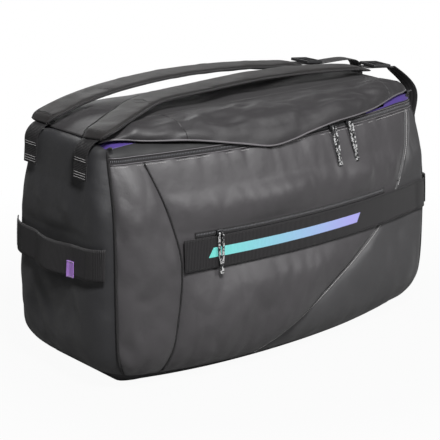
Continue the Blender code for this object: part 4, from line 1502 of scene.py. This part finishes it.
# Stage
class DUFFEL_OT_stage(bpy.types.Operator):
    """Set the studio: pale floor, soft lights and the camera"""

    bl_idname = "duffel.stage"
    bl_label = "Studio"

    def execute(self, context):
        scene = context.scene
        scene.view_settings.view_transform = "Standard"
        self.camera(scene)
        self.floor()
        self.lights(scene)
        return {"FINISHED"}

    def camera(self, scene):
        data = bpy.data.cameras.new("picture_camera")
        data.lens = CAMERA_LENS
        data.sensor_width = 36.0
        camera = bpy.data.objects.new("picture_camera", data)
        turn, rise = math.radians(CAMERA_TURN), math.radians(CAMERA_RISE)
        away = Vector((math.sin(turn) * math.cos(rise), -math.cos(turn) * math.cos(rise), math.sin(rise)))
        aim = Vector(CAMERA_AIM)
        camera.location = aim + away * CAMERA_REACH
        camera.rotation_euler = (-away).to_track_quat("-Z", "Y").to_euler()
        scene.collection.objects.link(camera)
        scene.camera = camera

    def floor(self):
        bm = bmesh.new()
        bmesh.ops.create_grid(bm, x_segments=8, y_segments=8, size=4.0)
        floor = new_object("studio_floor", smooth_mesh(bm, "studio_floor"))
        floor.location.z = -0.0005
        made = Finish("studio_floor", 0.9, specular=0.0)
        light_path = made.node("ShaderNodeLightPath")
        glow = made.node("ShaderNodeEmission")
        glow.inputs["Color"].default_value = (1.0, 1.0, 1.0, 1.0)
        made.shader.inputs["Base Color"].default_value = (*colours().floor, 1.0)
        blend = made.node("ShaderNodeMixShader")
        seen = light_path.outputs["Is Camera Ray"]
        reach = made.node("ShaderNodeVectorMath", operation="LENGTH")
        made.link(made.coords.outputs["Object"], reach.inputs[0])
        level = made.spread(reach.outputs["Value"], *FLOOR_GLOW)
        made.link(made.math("MULTIPLY", seen, level), blend.inputs[0])
        made.link(made.shader.outputs[0], blend.inputs[1])
        made.link(glow.outputs[0], blend.inputs[2])
        made.link(blend.outputs[0], made.tree.nodes["Material Output"].inputs["Surface"])
        floor.data.materials.append(made.material)

    def lights(self, scene):
        world = bpy.data.worlds.new("studio")
        world.use_nodes = True
        scene.world = world
        tree = world.node_tree
        back = tree.nodes["Background"]
        back.inputs["Color"].default_value = (1.0, 1.0, 1.0, 1.0)
        path = tree.nodes.new("ShaderNodeLightPath")
        level = tree.nodes.new("ShaderNodeMapRange")
        level.inputs["To Min"].default_value = WORLD_FILL
        level.inputs["To Max"].default_value = 1.0
        tree.links.new(path.outputs["Is Camera Ray"], level.inputs["Value"])
        tree.links.new(level.outputs["Result"], back.inputs["Strength"])
        for name, place, size, power in LIGHTS:
            data = bpy.data.lights.new(name, "AREA")
            data.shape = "DISK"
            data.size = size
            data.energy = power
            lamp = bpy.data.objects.new(name, data)
            lamp.location = place
            lamp.rotation_euler = (LIGHT_AIM - Vector(place)).to_track_quat("-Z", "Y").to_euler()
            scene.collection.objects.link(lamp)


class DUFFEL_PT_panel(bpy.types.Panel):
    """Builds the bag and lists its sizes and colours"""

    bl_idname = "DUFFEL_PT_panel"
    bl_label = "Racket duffel bag"
    bl_space_type = "VIEW_3D"
    bl_region_type = "UI"
    bl_category = "Duffel"

    def draw(self, context):
        for group in (context.scene.duffel_sizes, context.scene.duffel_colours):
            box = self.layout.box()
            for name in group.__annotations__:
                box.prop(group, name)
        for step in STEPS:
            self.layout.operator(step.bl_idname)


STEPS = (DUFFEL_OT_walls, DUFFEL_OT_top, DUFFEL_OT_lining, DUFFEL_OT_piping, DUFFEL_OT_webbing,
         DUFFEL_OT_zips, DUFFEL_OT_straps, DUFFEL_OT_stage)
CLASSES = (DuffelSizes, DuffelColours, *STEPS, DUFFEL_PT_panel)


def register():
    for made in CLASSES:
        bpy.utils.register_class(made)
    bpy.types.Scene.duffel_sizes = PointerProperty(type=DuffelSizes)
    bpy.types.Scene.duffel_colours = PointerProperty(type=DuffelColours)


def unregister():
    del bpy.types.Scene.duffel_colours
    del bpy.types.Scene.duffel_sizes
    for made in reversed(CLASSES):
        bpy.utils.unregister_class(made)


def main():
    register()
    for step in STEPS:
        group, name = step.bl_idname.split(".")
        getattr(getattr(bpy.ops, group), name)()


if __name__ == "__main__":
    main()
